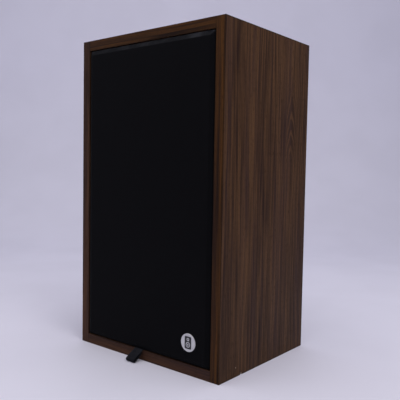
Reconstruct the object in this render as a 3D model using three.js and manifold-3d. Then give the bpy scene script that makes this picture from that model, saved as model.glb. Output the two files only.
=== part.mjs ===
// A two-way bookshelf loudspeaker with a lift-off cloth grille, as separate pieces.
// Millimetres, +Z up. The front faces -Y and +X is to the right seen from the front.
// The origin is the centre of the cabinet's underside.

import * as THREE from "three";
import { mergeVertices } from "three/addons/utils/BufferGeometryUtils.js";
import Module from "manifold-3d";

const wasm = await Module();
wasm.setup();

// ---------------------------------------------------------------- driving dimensions

const FIT_GAP = 0.3; // between pieces that are cut to one another
const RUNNING_GAP = 0.6; // between pieces that move past one another
const SHANK_GAP = 0.3; // radial, between a screw or pin and its hole
const PAST = 1; // how far a cutting tool runs past the face that it opens
const ROOT = 0.5; // how deep a joined feature starts inside its base

const CABINET = { width: 356, height: 610, depth: 280, wall: 19 };
const EDGE_TAPE = 0.5;
const BACK = { thickness: 16, recess: 3 };
const BAFFLE = { thickness: 19, recess: 16, rebate: 4 };

const GRILLE = {
  gap: 1.5, // all round, to the cabinet's walls
  proud: 2.5, // of the cabinet's front edges
  cloth: 0.7,
  bevelWidth: 9,
  bevelDepth: 4.5,
  cornerRadius: 5,
  openingRadius: 3,
  openingInset: 0.5, // of the windows' sides inside the woofer's rim
  rollMargin: 5, // below the woofer's surround
  rimMargin: 3, // past the drivers' rims
  topBorder: 50,
  standOff: 1.5, // from the frame's back to the baffle
};
const BADGE = { radius: 16, thickness: 1.8, fromSide: 65.4, height: 59.2 };
const PULL_TAB = {
  width: 20,
  thickness: 1.1,
  offset: -11, // from the cabinet's centre line
  reach: 27,
  drop: 15.5,
  bulge: 4.6, // inside the loop's round end
  solidShare: 0.35, // of its length, where its two layers touch
  root: { forward: 0.5, lift: 0.4 }, // from the cabinet's front and the gap's middle
};
const PEG = { radius: 2.9, length: 9, seat: 8, fromSide: 36, fromEnd: 46 };
const SOCKET = { wall: 1.8, flange: 7, flangeThickness: 1, depth: 13 };

const WOOFER = {
  radius: 127,
  floorMargin: 49, // from the bottom panel to the basket's rim
  gasket: 2.5,
  rim: 13,
  sheet: 1.5,
  boltInset: 5.5,
  coneInset: 27.5,
  coneDepth: 37,
  coneStart: 5,
  coneFlare: 0.85, // 1 is straight, less is flared
  paper: 1.1,
  surround: 0.7,
  surroundSeat: 2.5, // from the basket's mouth to the gasket's inner edge
  lip: 4, // of the surround on the cone
  coilRadius: 19.2,
  coilWall: 0.4,
  winding: 0.6,
  windingLength: 13,
  capRadius: 34,
  capHeight: 12,
  basketDepth: 60.5,
  ledge: 47.5,
  ledgeRadius: 61.5,
  plate: 6,
  plateInset: 4, // of both plates' edges inside the magnet's
  magnet: 16,
  magnetRadius: 55,
  magnetBore: 27,
  backPlate: 6,
  windows: 6,
  windowWidth: 46,
  rollRise: 0.45, // of the surround's width
};
const SPIDER = { ripples: 2, wave: 1.5, sheet: 0.6, slope: 2, flat: 6 };
const TAG_STRIP = { width: 26, height: 16, thickness: 3, fromLedge: 12 };
const TWEETER = {
  radius: 52,
  spacing: 30, // between the two drivers' rims
  domeRadius: 12.7,
  domeHeight: 5,
  surroundRadius: 17.5,
  mouth: 16,
  flare: 27,
  lip: { width: 4, depth: 1.2 }, // between the mouth and the flare
  boltInset: 7,
  membrane: 0.5,
  rollHeight: 0.9,
  coilWall: 0.6,
  plate: 4,
  plateInset: 3, // of both plates' edges inside the magnet's
  magnet: 8,
  magnetInset: 9, // of the magnet's edge inside the bolt circle
  magnetBore: 18,
  backPlate: 4,
};
const CUTOUT_GAP = 2; // radial, between a driver and its hole in the baffle
const SCREW = { headRadius: 3.75, headHeight: 2.4, shankRadius: 1.8, length: 17, point: 3 };
const SCREWS_PER_DRIVER = 4;

const TERMINAL = {
  height: 150,
  flange: [84, 60],
  flangeThickness: 2.5,
  recess: [60, 40],
  depth: 15.5,
  wall: 2,
  leverWidth: 20,
  leverSpacing: 27,
  earWidth: 3,
  leverGap: 0.5, // between a lever and the ears on each side of it
  hubRadius: 3,
  pinRadius: 1.2,
  pivot: { depth: 6, inset: 8.5 }, // above the recess's floor and below its top
  ear: { over: 3.5, below: 5, above: 4.5 }, // round the hinge's line
  guide: { width: 13, height: 8.5, depth: 6, inset: 1.5 },
  wireRadius: 1.7,
  clip: { width: 5.4, sheet: 0.8, drop: 4.2, tag: 12 },
};
const CROSSOVER = {
  board: [130, 84, 4],
  height: 255,
  coilRadius: 27,
  coilBore: 11,
  coilHeight: 24,
  capacitorRadius: 10,
  capacitorLength: 46,
};
const CABLE = { radius: 2.2, sides: 8, lift: 0.5 };
const BLANKET = { thickness: 60, margin: 9 };

const FINE = 36; // facets round a woofer part
const MEDIUM = 24; // facets round a tweeter part
const SMALL = 10; // facets round a screw or a peg

// ---------------------------------------------------------------- derived places

const halfWidth = CABINET.width / 2;
const halfDepth = CABINET.depth / 2;
const innerX = halfWidth - CABINET.wall;
const innerBottom = CABINET.wall;
const innerTop = CABINET.height - CABINET.wall;
const frontY = -halfDepth;
const baffleFrontY = frontY + BAFFLE.recess;
const baffleBackY = baffleFrontY + BAFFLE.thickness;
const backOuterY = halfDepth - BACK.recess;
const backInnerY = backOuterY - BACK.thickness;
const wooferZ = CABINET.wall + WOOFER.floorMargin + WOOFER.radius;
const tweeterZ = wooferZ + WOOFER.radius + TWEETER.spacing + TWEETER.radius;
const wooferMouth = WOOFER.radius - WOOFER.rim;
const wooferBolts = WOOFER.radius - WOOFER.boltInset;
const tweeterBolts = TWEETER.radius - TWEETER.boltInset;
const tweeterMagnet = tweeterBolts - TWEETER.magnetInset;

const clothFrontY = frontY - GRILLE.proud;
const frameFrontY = clothFrontY + GRILLE.cloth + FIT_GAP;
const frameBackY = baffleFrontY - GRILLE.standOff;

// ---------------------------------------------------------------- shape helpers

const v2 = (x, y) => new THREE.Vector2(x, y);
const v3 = (x, y, z) => new THREE.Vector3(x, y, z);

/** A closed geometry as a manifold-3d solid. */
function solid(geometry) {
  const bare = (geometry.index ? geometry.toNonIndexed() : geometry.clone())
    .deleteAttribute("normal")
    .deleteAttribute("uv");
  const merged = mergeVertices(bare, 1e-4);
  return new wasm.Manifold(
    new wasm.Mesh({
      numProp: 3,
      vertProperties: merged.attributes.position.array,
      triVerts: new Uint32Array(merged.index.array),
    }),
  );
}

/** A manifold-3d solid as a geometry. */
function geometryOf(body) {
  const mesh = body.getMesh();
  const geometry = new THREE.BufferGeometry();
  geometry.setAttribute("position", new THREE.BufferAttribute(mesh.vertProperties, 3));
  geometry.setIndex(new THREE.BufferAttribute(mesh.triVerts, 1));
  return geometry;
}

/** The first geometry with the others cut away. */
const cut = (base, ...tools) =>
  geometryOf(tools.reduce((left, tool) => left.subtract(solid(tool)), solid(base)));

/** Several geometries joined into one. */
const join = (first, ...others) =>
  geometryOf(others.reduce((sum, other) => sum.add(solid(other)), solid(first)));

/** A box between two limits on each axis. */
function block([x0, x1], [y0, y1], [z0, z1]) {
  return new THREE.BoxGeometry(x1 - x0, y1 - y0, z1 - z0).translate(
    (x0 + x1) / 2,
    (y0 + y1) / 2,
    (z0 + z1) / 2,
  );
}

/** An outline of [y, z] points extruded along X. */
function prismX(outline, [x0, x1]) {
  const shape = new THREE.Shape(outline.map(([y, z]) => v2(y, z)));
  return new THREE.ExtrudeGeometry(shape, { depth: x1 - x0, bevelEnabled: false })
    .applyMatrix4(new THREE.Matrix4().makeBasis(v3(0, 1, 0), v3(0, 0, 1), v3(1, 0, 0)))
    .translate(x0, 0, 0);
}

/** An outline of [x, z] points extruded along Y. */
function prismY(outline, [y0, y1]) {
  const shape = new THREE.Shape(outline.map(([x, z]) => v2(x, z)));
  return new THREE.ExtrudeGeometry(shape, { depth: y1 - y0, bevelEnabled: false })
    .applyMatrix4(new THREE.Matrix4().makeBasis(v3(1, 0, 0), v3(0, 0, 1), v3(0, -1, 0)))
    .translate(0, y1, 0);
}

/** A cylinder along Y, between two limits. */
function rod(radius, [y0, y1], facets, x = 0, z = 0) {
  const height = y1 - y0;
  const middle = (y0 + y1) / 2;
  return new THREE.CylinderGeometry(radius, radius, height, facets).translate(x, middle, z);
}

/** A cylinder along X, between two limits. */
function rodX(radius, [x0, x1], facets, y, z) {
  return new THREE.CylinderGeometry(radius, radius, x1 - x0, facets)
    .rotateZ(Math.PI / 2)
    .translate((x0 + x1) / 2, y, z);
}

/** A profile of [radius, y] points turned about the Y axis, which it starts and ends on or goes round. */
function turned(profile, facets) {
  const onAxis = profile[0][0] === 0;
  const points = onAxis ? [...profile] : [...profile, profile[0]];
  const area = points.reduce((sum, [r, y], i) => {
    const [nextR, nextY] = points[(i + 1) % points.length];
    return sum + r * nextY - nextR * y;
  }, 0);
  if (area < 0) points.reverse();
  return new THREE.LatheGeometry(points.map(([r, y]) => v2(r, y)), facets);
}

/** A washer or a tube about the Y axis. */
const ring = (inner, outer, [y0, y1], facets) =>
  turned([[inner, y0], [outer, y0], [outer, y1], [inner, y1]], facets);

/** The profile of a thin sheet that follows a path of [radius, y] points. */
function sheetProfile(path, thickness) {
  const side = (sign) =>
    path.map(([r, y], i) => {
      const [r0, y0] = path[Math.max(i - 1, 0)];
      const [r1, y1] = path[Math.min(i + 1, path.length - 1)];
      const length = Math.hypot(r1 - r0, y1 - y0);
      const offset = (sign * thickness) / 2 / length;
      if (r === 0) return [0, y + (sign * thickness) / 2];
      return [r - (y1 - y0) * offset, y + (r1 - r0) * offset];
    });
  return [...side(-1), ...side(1).reverse()];
}

const turnedSheet = (path, thickness, facets) => turned(sheetProfile(path, thickness), facets);

/** A rectangle with round corners, as [x, z] points, counter-clockwise. */
function roundedRectangle([x0, x1], [z0, z1], radius, steps = 4) {
  const corners = [
    [x1 - radius, z0 + radius, -90],
    [x1 - radius, z1 - radius, 0],
    [x0 + radius, z1 - radius, 90],
    [x0 + radius, z0 + radius, 180],
  ];
  return corners.flatMap(([x, z, start]) =>
    Array.from({ length: steps + 1 }, (_, i) => {
      const angle = THREE.MathUtils.degToRad(start + (90 * i) / steps);
      return [x + radius * Math.cos(angle), z + radius * Math.sin(angle)];
    }),
  );
}

/** A closed body through convex outlines of [x, z] points, each at its own y, from front to back. */
function lofted(sections) {
  const count = sections[0].outline.length;
  const positions = sections.flatMap(({ y, outline }) => outline.flatMap(([x, z]) => [x, y, z]));
  const faces = [];
  for (let level = 0; level < sections.length - 1; level++) {
    for (let i = 0; i < count; i++) {
      const a = level * count + i;
      const b = level * count + ((i + 1) % count);
      faces.push(a, a + count, b, b, a + count, b + count);
    }
  }
  const last = (sections.length - 1) * count;
  for (let i = 1; i < count - 1; i++) {
    faces.push(0, i, i + 1);
    faces.push(last, last + i + 1, last + i);
  }
  const geometry = new THREE.BufferGeometry();
  geometry.setAttribute("position", new THREE.Float32BufferAttribute(positions, 3));
  geometry.setIndex(faces);
  return geometry;
}

/** A round cable along a smooth curve through the points. */
function cable(points, steps) {
  const section = new THREE.Shape(
    Array.from({ length: CABLE.sides }, (_, i) => {
      const angle = (2 * Math.PI * i) / CABLE.sides;
      return v2(CABLE.radius * Math.cos(angle), CABLE.radius * Math.sin(angle));
    }),
  );
  const route = new THREE.CatmullRomCurve3(points.map(([x, y, z]) => v3(x, y, z)));
  return new THREE.ExtrudeGeometry(section, { steps, extrudePath: route });
}

/** Points at equal angles on a circle, the first half a step round, as [x, z]. */
const boltCircle = (radius, count) =>
  Array.from({ length: count }, (_, i) => {
    const angle = (2 * Math.PI * (i + 0.5)) / count;
    return [radius * Math.cos(angle), radius * Math.sin(angle)];
  });

// ---------------------------------------------------------------- scene graph helpers

const FINISHES = {
  walnut: [0x46342d, 0.45, 0],
  darkBoard: [0x1d1b1a, 0.85, 0],
  rawBoard: [0x2b2521, 0.85, 0],
  cloth: [0x0c0c0f, 0.95, 0],
  webbing: [0x17181b, 0.8, 0],
  silver: [0xb9bbc0, 0.35, 0.9],
  blackPlastic: [0x121214, 0.5, 0],
  redPlastic: [0x8a1512, 0.4, 0],
  steel: [0x55585c, 0.4, 0.9],
  zinc: [0x9a9c9c, 0.35, 0.9],
  ferrite: [0x2a2b2d, 0.8, 0],
  paper: [0x1b1b1c, 0.9, 0],
  foam: [0x141414, 0.9, 0],
  textile: [0xb08a4a, 0.9, 0],
  copper: [0xa5602f, 0.35, 0.9],
  silk: [0x1a1a1c, 0.7, 0],
  board: [0x6b4a2c, 0.8, 0],
  capacitor: [0x2b3f6b, 0.4, 0],
  cable: [0x1c1c1c, 0.6, 0],
  brass: [0xb08d4a, 0.35, 0.9],
  wadding: [0xd8d6ce, 1, 0],
};

const speaker = new THREE.Group();

/** Adds a named piece with its finish to a group. */
function piece(group, name, geometry, finish) {
  const [color, roughness, metalness] = FINISHES[finish];
  const material = new THREE.MeshStandardMaterial({ color, roughness, metalness });
  const mesh = new THREE.Mesh(geometry, material);
  mesh.name = name;
  group.add(mesh);
  return mesh;
}

/** A group placed in the speaker. */
function place(x, y, z) {
  const group = new THREE.Group();
  group.position.set(x, y, z);
  speaker.add(group);
  return group;
}

// ---------------------------------------------------------------- cabinet

/** Side, top and bottom panels, mitred where they meet, as one folded wrap. */
function buildCarcass() {
  const { width, height, wall } = CABINET;
  const run = [frontY + EDGE_TAPE, halfDepth];
  const side = [
    [halfWidth, 0],
    [halfWidth, height],
    [halfWidth - wall, height - wall],
    [halfWidth - wall, wall],
  ];
  const mirrored = side.map(([x, z]) => [-x, z]);
  const bottom = [
    [-halfWidth, 0],
    [halfWidth, 0],
    [halfWidth - wall, wall],
    [wall - halfWidth, wall],
  ];
  const top = bottom.map(([x, z]) => [x, height - z]);
  piece(speaker, "side_panel_right", prismY(side, run), "walnut");
  piece(speaker, "side_panel_left", prismY(mirrored, run), "walnut");
  piece(speaker, "bottom_panel", prismY(bottom, run), "walnut");
  piece(speaker, "top_panel", prismY(top, run), "walnut");

  const tape = [frontY, frontY + EDGE_TAPE];
  const innerSpan = [wall - width / 2, width / 2 - wall];
  const stile = (sign) => [sign * halfWidth, sign * innerX].sort((a, b) => a - b);
  piece(speaker, "edge_tape_left", block(stile(-1), tape, [0, height]), "walnut");
  piece(speaker, "edge_tape_right", block(stile(1), tape, [0, height]), "walnut");
  piece(speaker, "edge_tape_bottom", block(innerSpan, tape, [0, wall]), "walnut");
  piece(speaker, "edge_tape_top", block(innerSpan, tape, [height - wall, height]), "walnut");
}

/** The four places where a grille peg enters the baffle, as [x, z]. */
const pegPlaces = [-1, 1].flatMap((sign) =>
  [PEG.fromEnd, CABINET.height - PEG.fromEnd].map((z) => [sign * (halfWidth - PEG.fromSide), z]),
);

/** A driver's hole through the baffle, its rebate and its screw holes, as tools to cut with. */
function driverTools(centreZ, cutout, rim, boltRadius, facets) {
  const through = [baffleFrontY - PAST, baffleBackY + PAST];
  const rebate = [baffleFrontY - PAST, baffleFrontY + BAFFLE.rebate];
  const screwHoles = boltCircle(boltRadius, SCREWS_PER_DRIVER).map(([x, z]) =>
    rod(SCREW.shankRadius + SHANK_GAP, through, SMALL, x, centreZ + z),
  );
  return [
    rod(cutout, through, facets, 0, centreZ),
    rod(rim + FIT_GAP, rebate, facets, 0, centreZ),
    ...screwHoles,
  ];
}

function buildBaffle() {
  const board = block([-innerX, innerX], [baffleFrontY, baffleBackY], [innerBottom, innerTop]);
  const socketRadius = PEG.radius + SHANK_GAP + SOCKET.wall;
  const socketHoles = pegPlaces.map(([x, z]) =>
    rod(socketRadius + FIT_GAP, [baffleFrontY - PAST, baffleBackY + PAST], SMALL, x, z),
  );
  const drilled = cut(
    board,
    ...driverTools(wooferZ, wooferMouth + CUTOUT_GAP, WOOFER.radius, wooferBolts, FINE),
    ...driverTools(tweeterZ, tweeterMagnet + CUTOUT_GAP, TWEETER.radius, tweeterBolts, MEDIUM),
    ...socketHoles,
  );
  piece(speaker, "front_baffle", drilled, "darkBoard");

  const flangeY = -SOCKET.flangeThickness;
  const bore = PEG.radius + SHANK_GAP;
  pegPlaces.forEach(([x, z], i) => {
    const cup = turned(
      [
        [bore, flangeY],
        [SOCKET.flange, flangeY],
        [SOCKET.flange, 0],
        [socketRadius, 0],
        [socketRadius, SOCKET.depth],
        [bore, SOCKET.depth],
      ],
      SMALL,
    );
    piece(place(x, baffleFrontY, z), `grille_socket_${i + 1}`, cup, "blackPlastic");
  });
}

function buildBack() {
  const board = block([-innerX, innerX], [backInnerY, backOuterY], [innerBottom, innerTop]);
  const [recessX, recessZ] = TERMINAL.recess;
  const holeX = recessX / 2 + TERMINAL.wall + FIT_GAP;
  const holeZ = recessZ / 2 + TERMINAL.wall + FIT_GAP;
  const hole = block(
    [-holeX, holeX],
    [backInnerY - PAST, backOuterY + PAST],
    [TERMINAL.height - holeZ, TERMINAL.height + holeZ],
  );
  piece(speaker, "back_panel", cut(board, hole), "rawBoard");

  const span = innerX - BLANKET.margin;
  const blanketBack = backInnerY - FIT_GAP;
  const wadding = block(
    [-span, span],
    [blanketBack - BLANKET.thickness, blanketBack],
    [CROSSOVER.height + CROSSOVER.board[1] / 2 + BLANKET.margin, innerTop - BLANKET.margin],
  );
  piece(speaker, "damping_wadding", wadding, "wadding");
}

// ---------------------------------------------------------------- grille

/** The grille's outline at a distance inside its outer edge. */
function grilleOutline(inset, radius) {
  const x = innerX - GRILLE.gap - inset;
  const limits = [innerBottom + GRILLE.gap + inset, innerTop - GRILLE.gap - inset];
  return roundedRectangle([-x, x], limits, radius);
}

/** A board with the grille's bevelled front edge, from its front face to its back. */
function bevelledBoard(inset, frontFaceY, backFaceY) {
  const bevelled = Math.max(GRILLE.cornerRadius - GRILLE.bevelWidth / 2, 1);
  const outer = grilleOutline(inset, GRILLE.cornerRadius - inset);
  return lofted([
    { y: frontFaceY, outline: grilleOutline(inset + GRILLE.bevelWidth, bevelled) },
    { y: frontFaceY + GRILLE.bevelDepth, outline: outer },
    { y: backFaceY, outline: outer },
  ]);
}

function buildGrille() {
  const frameInset = GRILLE.cloth + FIT_GAP;
  const openingX = WOOFER.radius - GRILLE.openingInset;
  const through = [frameFrontY - PAST, frameBackY + PAST];
  const window = (z0, z1) =>
    prismY(roundedRectangle([-openingX, openingX], [z0, z1], GRILLE.openingRadius), through);
  const pegHole = PEG.radius + SHANK_GAP;
  const pegSeat = [frameBackY - PEG.seat, frameBackY + PAST];
  const frame = cut(
    bevelledBoard(frameInset, frameFrontY, frameBackY),
    window(wooferZ - wooferMouth - GRILLE.rollMargin, wooferZ + WOOFER.radius + GRILLE.rimMargin),
    window(tweeterZ - TWEETER.radius - GRILLE.rimMargin, CABINET.height - GRILLE.topBorder),
    ...pegPlaces.map(([x, z]) => rod(pegHole, pegSeat, SMALL, x, z)),
  );
  piece(speaker, "grille_frame", frame, "darkBoard");

  const skin = cut(
    bevelledBoard(0, clothFrontY, frameBackY),
    bevelledBoard(GRILLE.cloth, clothFrontY + GRILLE.cloth, frameBackY + PAST),
  );
  piece(speaker, "grille_cloth", skin, "cloth");

  pegPlaces.forEach(([x, z], i) => {
    const tip = GRILLE.standOff + PEG.length;
    const profile = [
      [0, FIT_GAP - PEG.seat],
      [PEG.radius, FIT_GAP - PEG.seat],
      [PEG.radius, tip - PEG.radius / 2],
      [PEG.radius / 2, tip],
      [0, tip],
    ];
    piece(place(x, frameBackY, z), `grille_peg_${i + 1}`, turned(profile, SMALL), "blackPlastic");
  });

  const rounding = BADGE.thickness / 3;
  const badge = turned(
    [
      [0, 0],
      [BADGE.radius, 0],
      [BADGE.radius, rounding - BADGE.thickness],
      [BADGE.radius - rounding, -BADGE.thickness],
      [0, -BADGE.thickness],
    ],
    MEDIUM,
  );
  piece(place(halfWidth - BADGE.fromSide, clothFrontY, BADGE.height), "grille_badge", badge, "silver");
}

/** A loop of webbing that leaves the gap under the grille, droops forward and turns back on itself. */
function buildPullTab() {
  const { width, thickness, offset, reach, drop, bulge, solidShare, root } = PULL_TAB;
  const steps = 6;
  const slope = Math.atan2(drop, reach);
  const endRadius = bulge / 2 + thickness;
  const length = Math.hypot(reach, drop) - endRadius;
  // The outline of a teardrop with its point at the origin, whose round end has this radius.
  const teardrop = (radius, start) => {
    const end = Array.from({ length: steps + 1 }, (_, i) => {
      const angle = -Math.PI / 2 + (Math.PI * i) / steps;
      return v2(length + radius * Math.cos(angle), radius * Math.sin(angle));
    });
    const neck = Math.min(radius, thickness);
    return [v2(start, -neck / 2), ...end, v2(start, neck / 2)];
  };
  const shape = new THREE.Shape(teardrop(endRadius, 0));
  shape.holes.push(new THREE.Path(teardrop(bulge / 2, length * solidShare).reverse()));
  const loop = new THREE.ExtrudeGeometry(shape, { depth: width, bevelEnabled: false });
  // The shape's x runs forward and down, its y runs up and forward, and it is extruded to the left.
  const along = v3(0, -Math.cos(slope), -Math.sin(slope));
  const across = v3(0, -Math.sin(slope), Math.cos(slope));
  loop.applyMatrix4(new THREE.Matrix4().makeBasis(along, across, v3(-1, 0, 0)));
  const rootZ = innerBottom + GRILLE.gap / 2 + root.lift;
  piece(place(offset + width / 2, frontY - root.forward, rootZ), "pull_tab", loop, "webbing");
}

// ---------------------------------------------------------------- drivers

/** A round-headed screw along +Y, its head's underside at y = 0. */
function screw() {
  const { headRadius, headHeight, shankRadius, length, point } = SCREW;
  return turned(
    [
      [0, -headHeight],
      [headRadius * 0.6, -headHeight],
      [headRadius, -headHeight * 0.35],
      [headRadius, 0],
      [shankRadius, 0],
      [shankRadius, length - point],
      [0, length],
    ],
    SMALL,
  );
}

/** The screws that hold a driver, on its bolt circle. */
function addScrews(centreZ, boltRadius, name) {
  boltCircle(boltRadius, SCREWS_PER_DRIVER).forEach(([x, z], i) => {
    piece(place(x, baffleFrontY, centreZ + z), `${name}_screw_${i + 1}`, screw(), "zinc");
  });
}

/** Screw clearance holes through a rim, as tools in a driver's own frame. */
const rimHoles = (boltRadius) =>
  boltCircle(boltRadius, SCREWS_PER_DRIVER).map(([x, z]) =>
    rod(SCREW.shankRadius + SHANK_GAP, [-10, 10], SMALL, x, z),
  );

/** The woofer. In its own frame, y is the depth behind the baffle's front face. */
function buildWoofer() {
  const driver = place(0, baffleFrontY, wooferZ);
  const { radius, sheet, paper, coilRadius, coilWall, ledgeRadius } = WOOFER;
  const flangeY = WOOFER.gasket;
  const coneRim = radius - WOOFER.coneInset;
  const coneEnd = WOOFER.coneStart + WOOFER.coneDepth;
  const neck = coilRadius + coilWall;
  const basketEnd = flangeY + WOOFER.basketDepth;
  const ledgeY = flangeY + WOOFER.ledge;

  // Gasket ring, over the surround's outer lip.
  const lipOuter = wooferBolts - SCREW.shankRadius - 2 * SHANK_GAP;
  const lipSpace = WOOFER.surround + 2 * FIT_GAP;
  const gasketInner = wooferMouth + WOOFER.surroundSeat;
  const gasket = turned(
    [
      [gasketInner, 0],
      [radius, 0],
      [radius, flangeY],
      [lipOuter + FIT_GAP, flangeY],
      [lipOuter + FIT_GAP, flangeY - lipSpace],
      [gasketInner, flangeY - lipSpace],
    ],
    FINE,
  );
  piece(driver, "woofer_gasket", cut(gasket, ...rimHoles(wooferBolts)), "foam");

  // Stamped basket with windows between its ribs.
  const wall = turnedSheet(
    [
      [radius, flangeY + sheet / 2],
      [wooferMouth, flangeY + sheet / 2],
      [wooferMouth - 3, flangeY + 6],
      [wooferMouth - 15, flangeY + 27],
      [ledgeRadius + 3, ledgeY + sheet],
      [ledgeRadius - 6, ledgeY + sheet],
      [ledgeRadius - 9, basketEnd - sheet / 2],
      [coilRadius + 4, basketEnd - sheet / 2],
    ],
    sheet,
    FINE,
  );
  const halfWindow = WOOFER.windowWidth / 2;
  const windows = Array.from({ length: WOOFER.windows }, (_, i) =>
    block([ledgeRadius + 8, radius], [flangeY + 9, ledgeY - 4], [-halfWindow, halfWindow])
      .rotateY((2 * Math.PI * i) / WOOFER.windows),
  );
  piece(driver, "woofer_basket", cut(wall, ...windows, ...rimHoles(wooferBolts)), "steel");

  // Motor: top plate, ring magnet, and back plate with its pole.
  const gapOuter = coilRadius + coilWall + WOOFER.winding + RUNNING_GAP;
  const plateRadius = WOOFER.magnetRadius - WOOFER.plateInset;
  const plateEnd = basketEnd + WOOFER.plate;
  const magnetEnd = plateEnd + WOOFER.magnet;
  const pole = coilRadius - RUNNING_GAP;
  piece(driver, "woofer_top_plate", ring(gapOuter, plateRadius, [basketEnd, plateEnd], FINE), "zinc");
  piece(
    driver,
    "woofer_magnet",
    ring(WOOFER.magnetBore, WOOFER.magnetRadius, [plateEnd, magnetEnd], FINE),
    "ferrite",
  );
  const yoke = turned(
    [
      [0, basketEnd],
      [pole, basketEnd],
      [pole, magnetEnd],
      [plateRadius, magnetEnd],
      [plateRadius, magnetEnd + WOOFER.backPlate],
      [0, magnetEnd + WOOFER.backPlate],
    ],
    FINE,
  );
  piece(driver, "woofer_back_plate", yoke, "zinc");

  // Cone, flaring from its neck to its rim.
  const coneSteps = 5;
  const coneNeck = neck + paper;
  const coneShare = (r) => (r - coneNeck) / (coneRim - coneNeck);
  const coneY = (r) => coneEnd - WOOFER.coneDepth * coneShare(r) ** WOOFER.coneFlare;
  const conePath = Array.from({ length: coneSteps + 1 }, (_, i) => {
    const r = coneNeck + ((coneRim - coneNeck) * i) / coneSteps;
    return [r, coneY(r)];
  });
  piece(driver, "woofer_cone", turnedSheet(conePath, paper, FINE), "paper");

  // Dust cap, resting on the cone.
  const capBase = coneY(WOOFER.capRadius) - 2 * paper - FIT_GAP;
  const capSteps = 4;
  const capPath = Array.from({ length: capSteps + 1 }, (_, i) => {
    const share = i / capSteps;
    return [WOOFER.capRadius * share, capBase - WOOFER.capHeight * (1 - share * share)];
  });
  piece(driver, "woofer_dust_cap", turnedSheet(capPath, paper, FINE), "paper");

  // Coil former with its winding in the magnet's gap.
  const windingEnd = basketEnd + WOOFER.plate / 2 + WOOFER.windingLength / 2;
  const windingStart = windingEnd - WOOFER.windingLength;
  const former = ring(coilRadius, neck, [coneEnd - 4, windingEnd], FINE);
  piece(driver, "woofer_coil_former", former, "textile");
  const windingInner = neck + 0.1;
  const winding = ring(
    windingInner,
    windingInner + WOOFER.winding,
    [windingStart, windingEnd],
    FINE,
  );
  piece(driver, "woofer_voice_coil", winding, "copper");

  // Half-roll surround, from the cone's rim to the basket's flange.
  const rollSteps = 6;
  const skin = WOOFER.surround;
  const rollInner = coneRim - paper / 2;
  const rollOuter = gasketInner - FIT_GAP - skin;
  const lipY = (r) => coneY(r) - paper - skin / 2 - FIT_GAP;
  const rollStart = lipY(rollInner);
  const rollEnd = flangeY - skin / 2 - FIT_GAP / 2;
  const rollHeight = (rollOuter - rollInner) * WOOFER.rollRise;
  const roll = Array.from({ length: rollSteps + 1 }, (_, i) => {
    const share = i / rollSteps;
    const angle = Math.PI * share;
    return [
      (rollInner + rollOuter) / 2 - ((rollOuter - rollInner) / 2) * Math.cos(angle),
      rollStart + (rollEnd - rollStart) * share - rollHeight * Math.sin(angle),
    ];
  });
  const lipInner = rollInner - WOOFER.lip;
  const surroundPath = [[lipInner, lipY(lipInner)], ...roll, [lipOuter, rollEnd]];
  piece(driver, "woofer_surround", turnedSheet(surroundPath, skin, FINE), "foam");

  // Corrugated spider, from the former to the basket's ledge.
  const spiderInner = neck + FIT_GAP;
  const flatInner = ledgeRadius - SPIDER.flat;
  const rippleOuter = flatInner - SPIDER.slope;
  const spiderY = ledgeY + sheet / 2 - SPIDER.sheet / 2 - FIT_GAP;
  const rippleSteps = SPIDER.ripples * 4;
  const spiderPath = Array.from({ length: rippleSteps + 1 }, (_, i) => {
    const share = i / rippleSteps;
    const wave = SPIDER.wave * Math.sin(2 * Math.PI * SPIDER.ripples * share);
    return [spiderInner + (rippleOuter - spiderInner) * share, spiderY - SPIDER.slope - wave];
  });
  spiderPath.push([flatInner, spiderY], [ledgeRadius, spiderY]);
  piece(driver, "woofer_spider", turnedSheet(spiderPath, SPIDER.sheet, FINE), "textile");

  // Tag strip behind the basket's top rib, where the internal cable ends.
  const stripInner = ledgeRadius + TAG_STRIP.fromLedge;
  const strip = block(
    [-TAG_STRIP.width / 2, TAG_STRIP.width / 2],
    [ledgeY - 1, ledgeY - 1 + TAG_STRIP.thickness],
    [stripInner, stripInner + TAG_STRIP.height],
  );
  piece(driver, "woofer_tag_strip", strip, "board");

  addScrews(wooferZ, wooferBolts, "woofer");
}

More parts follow.
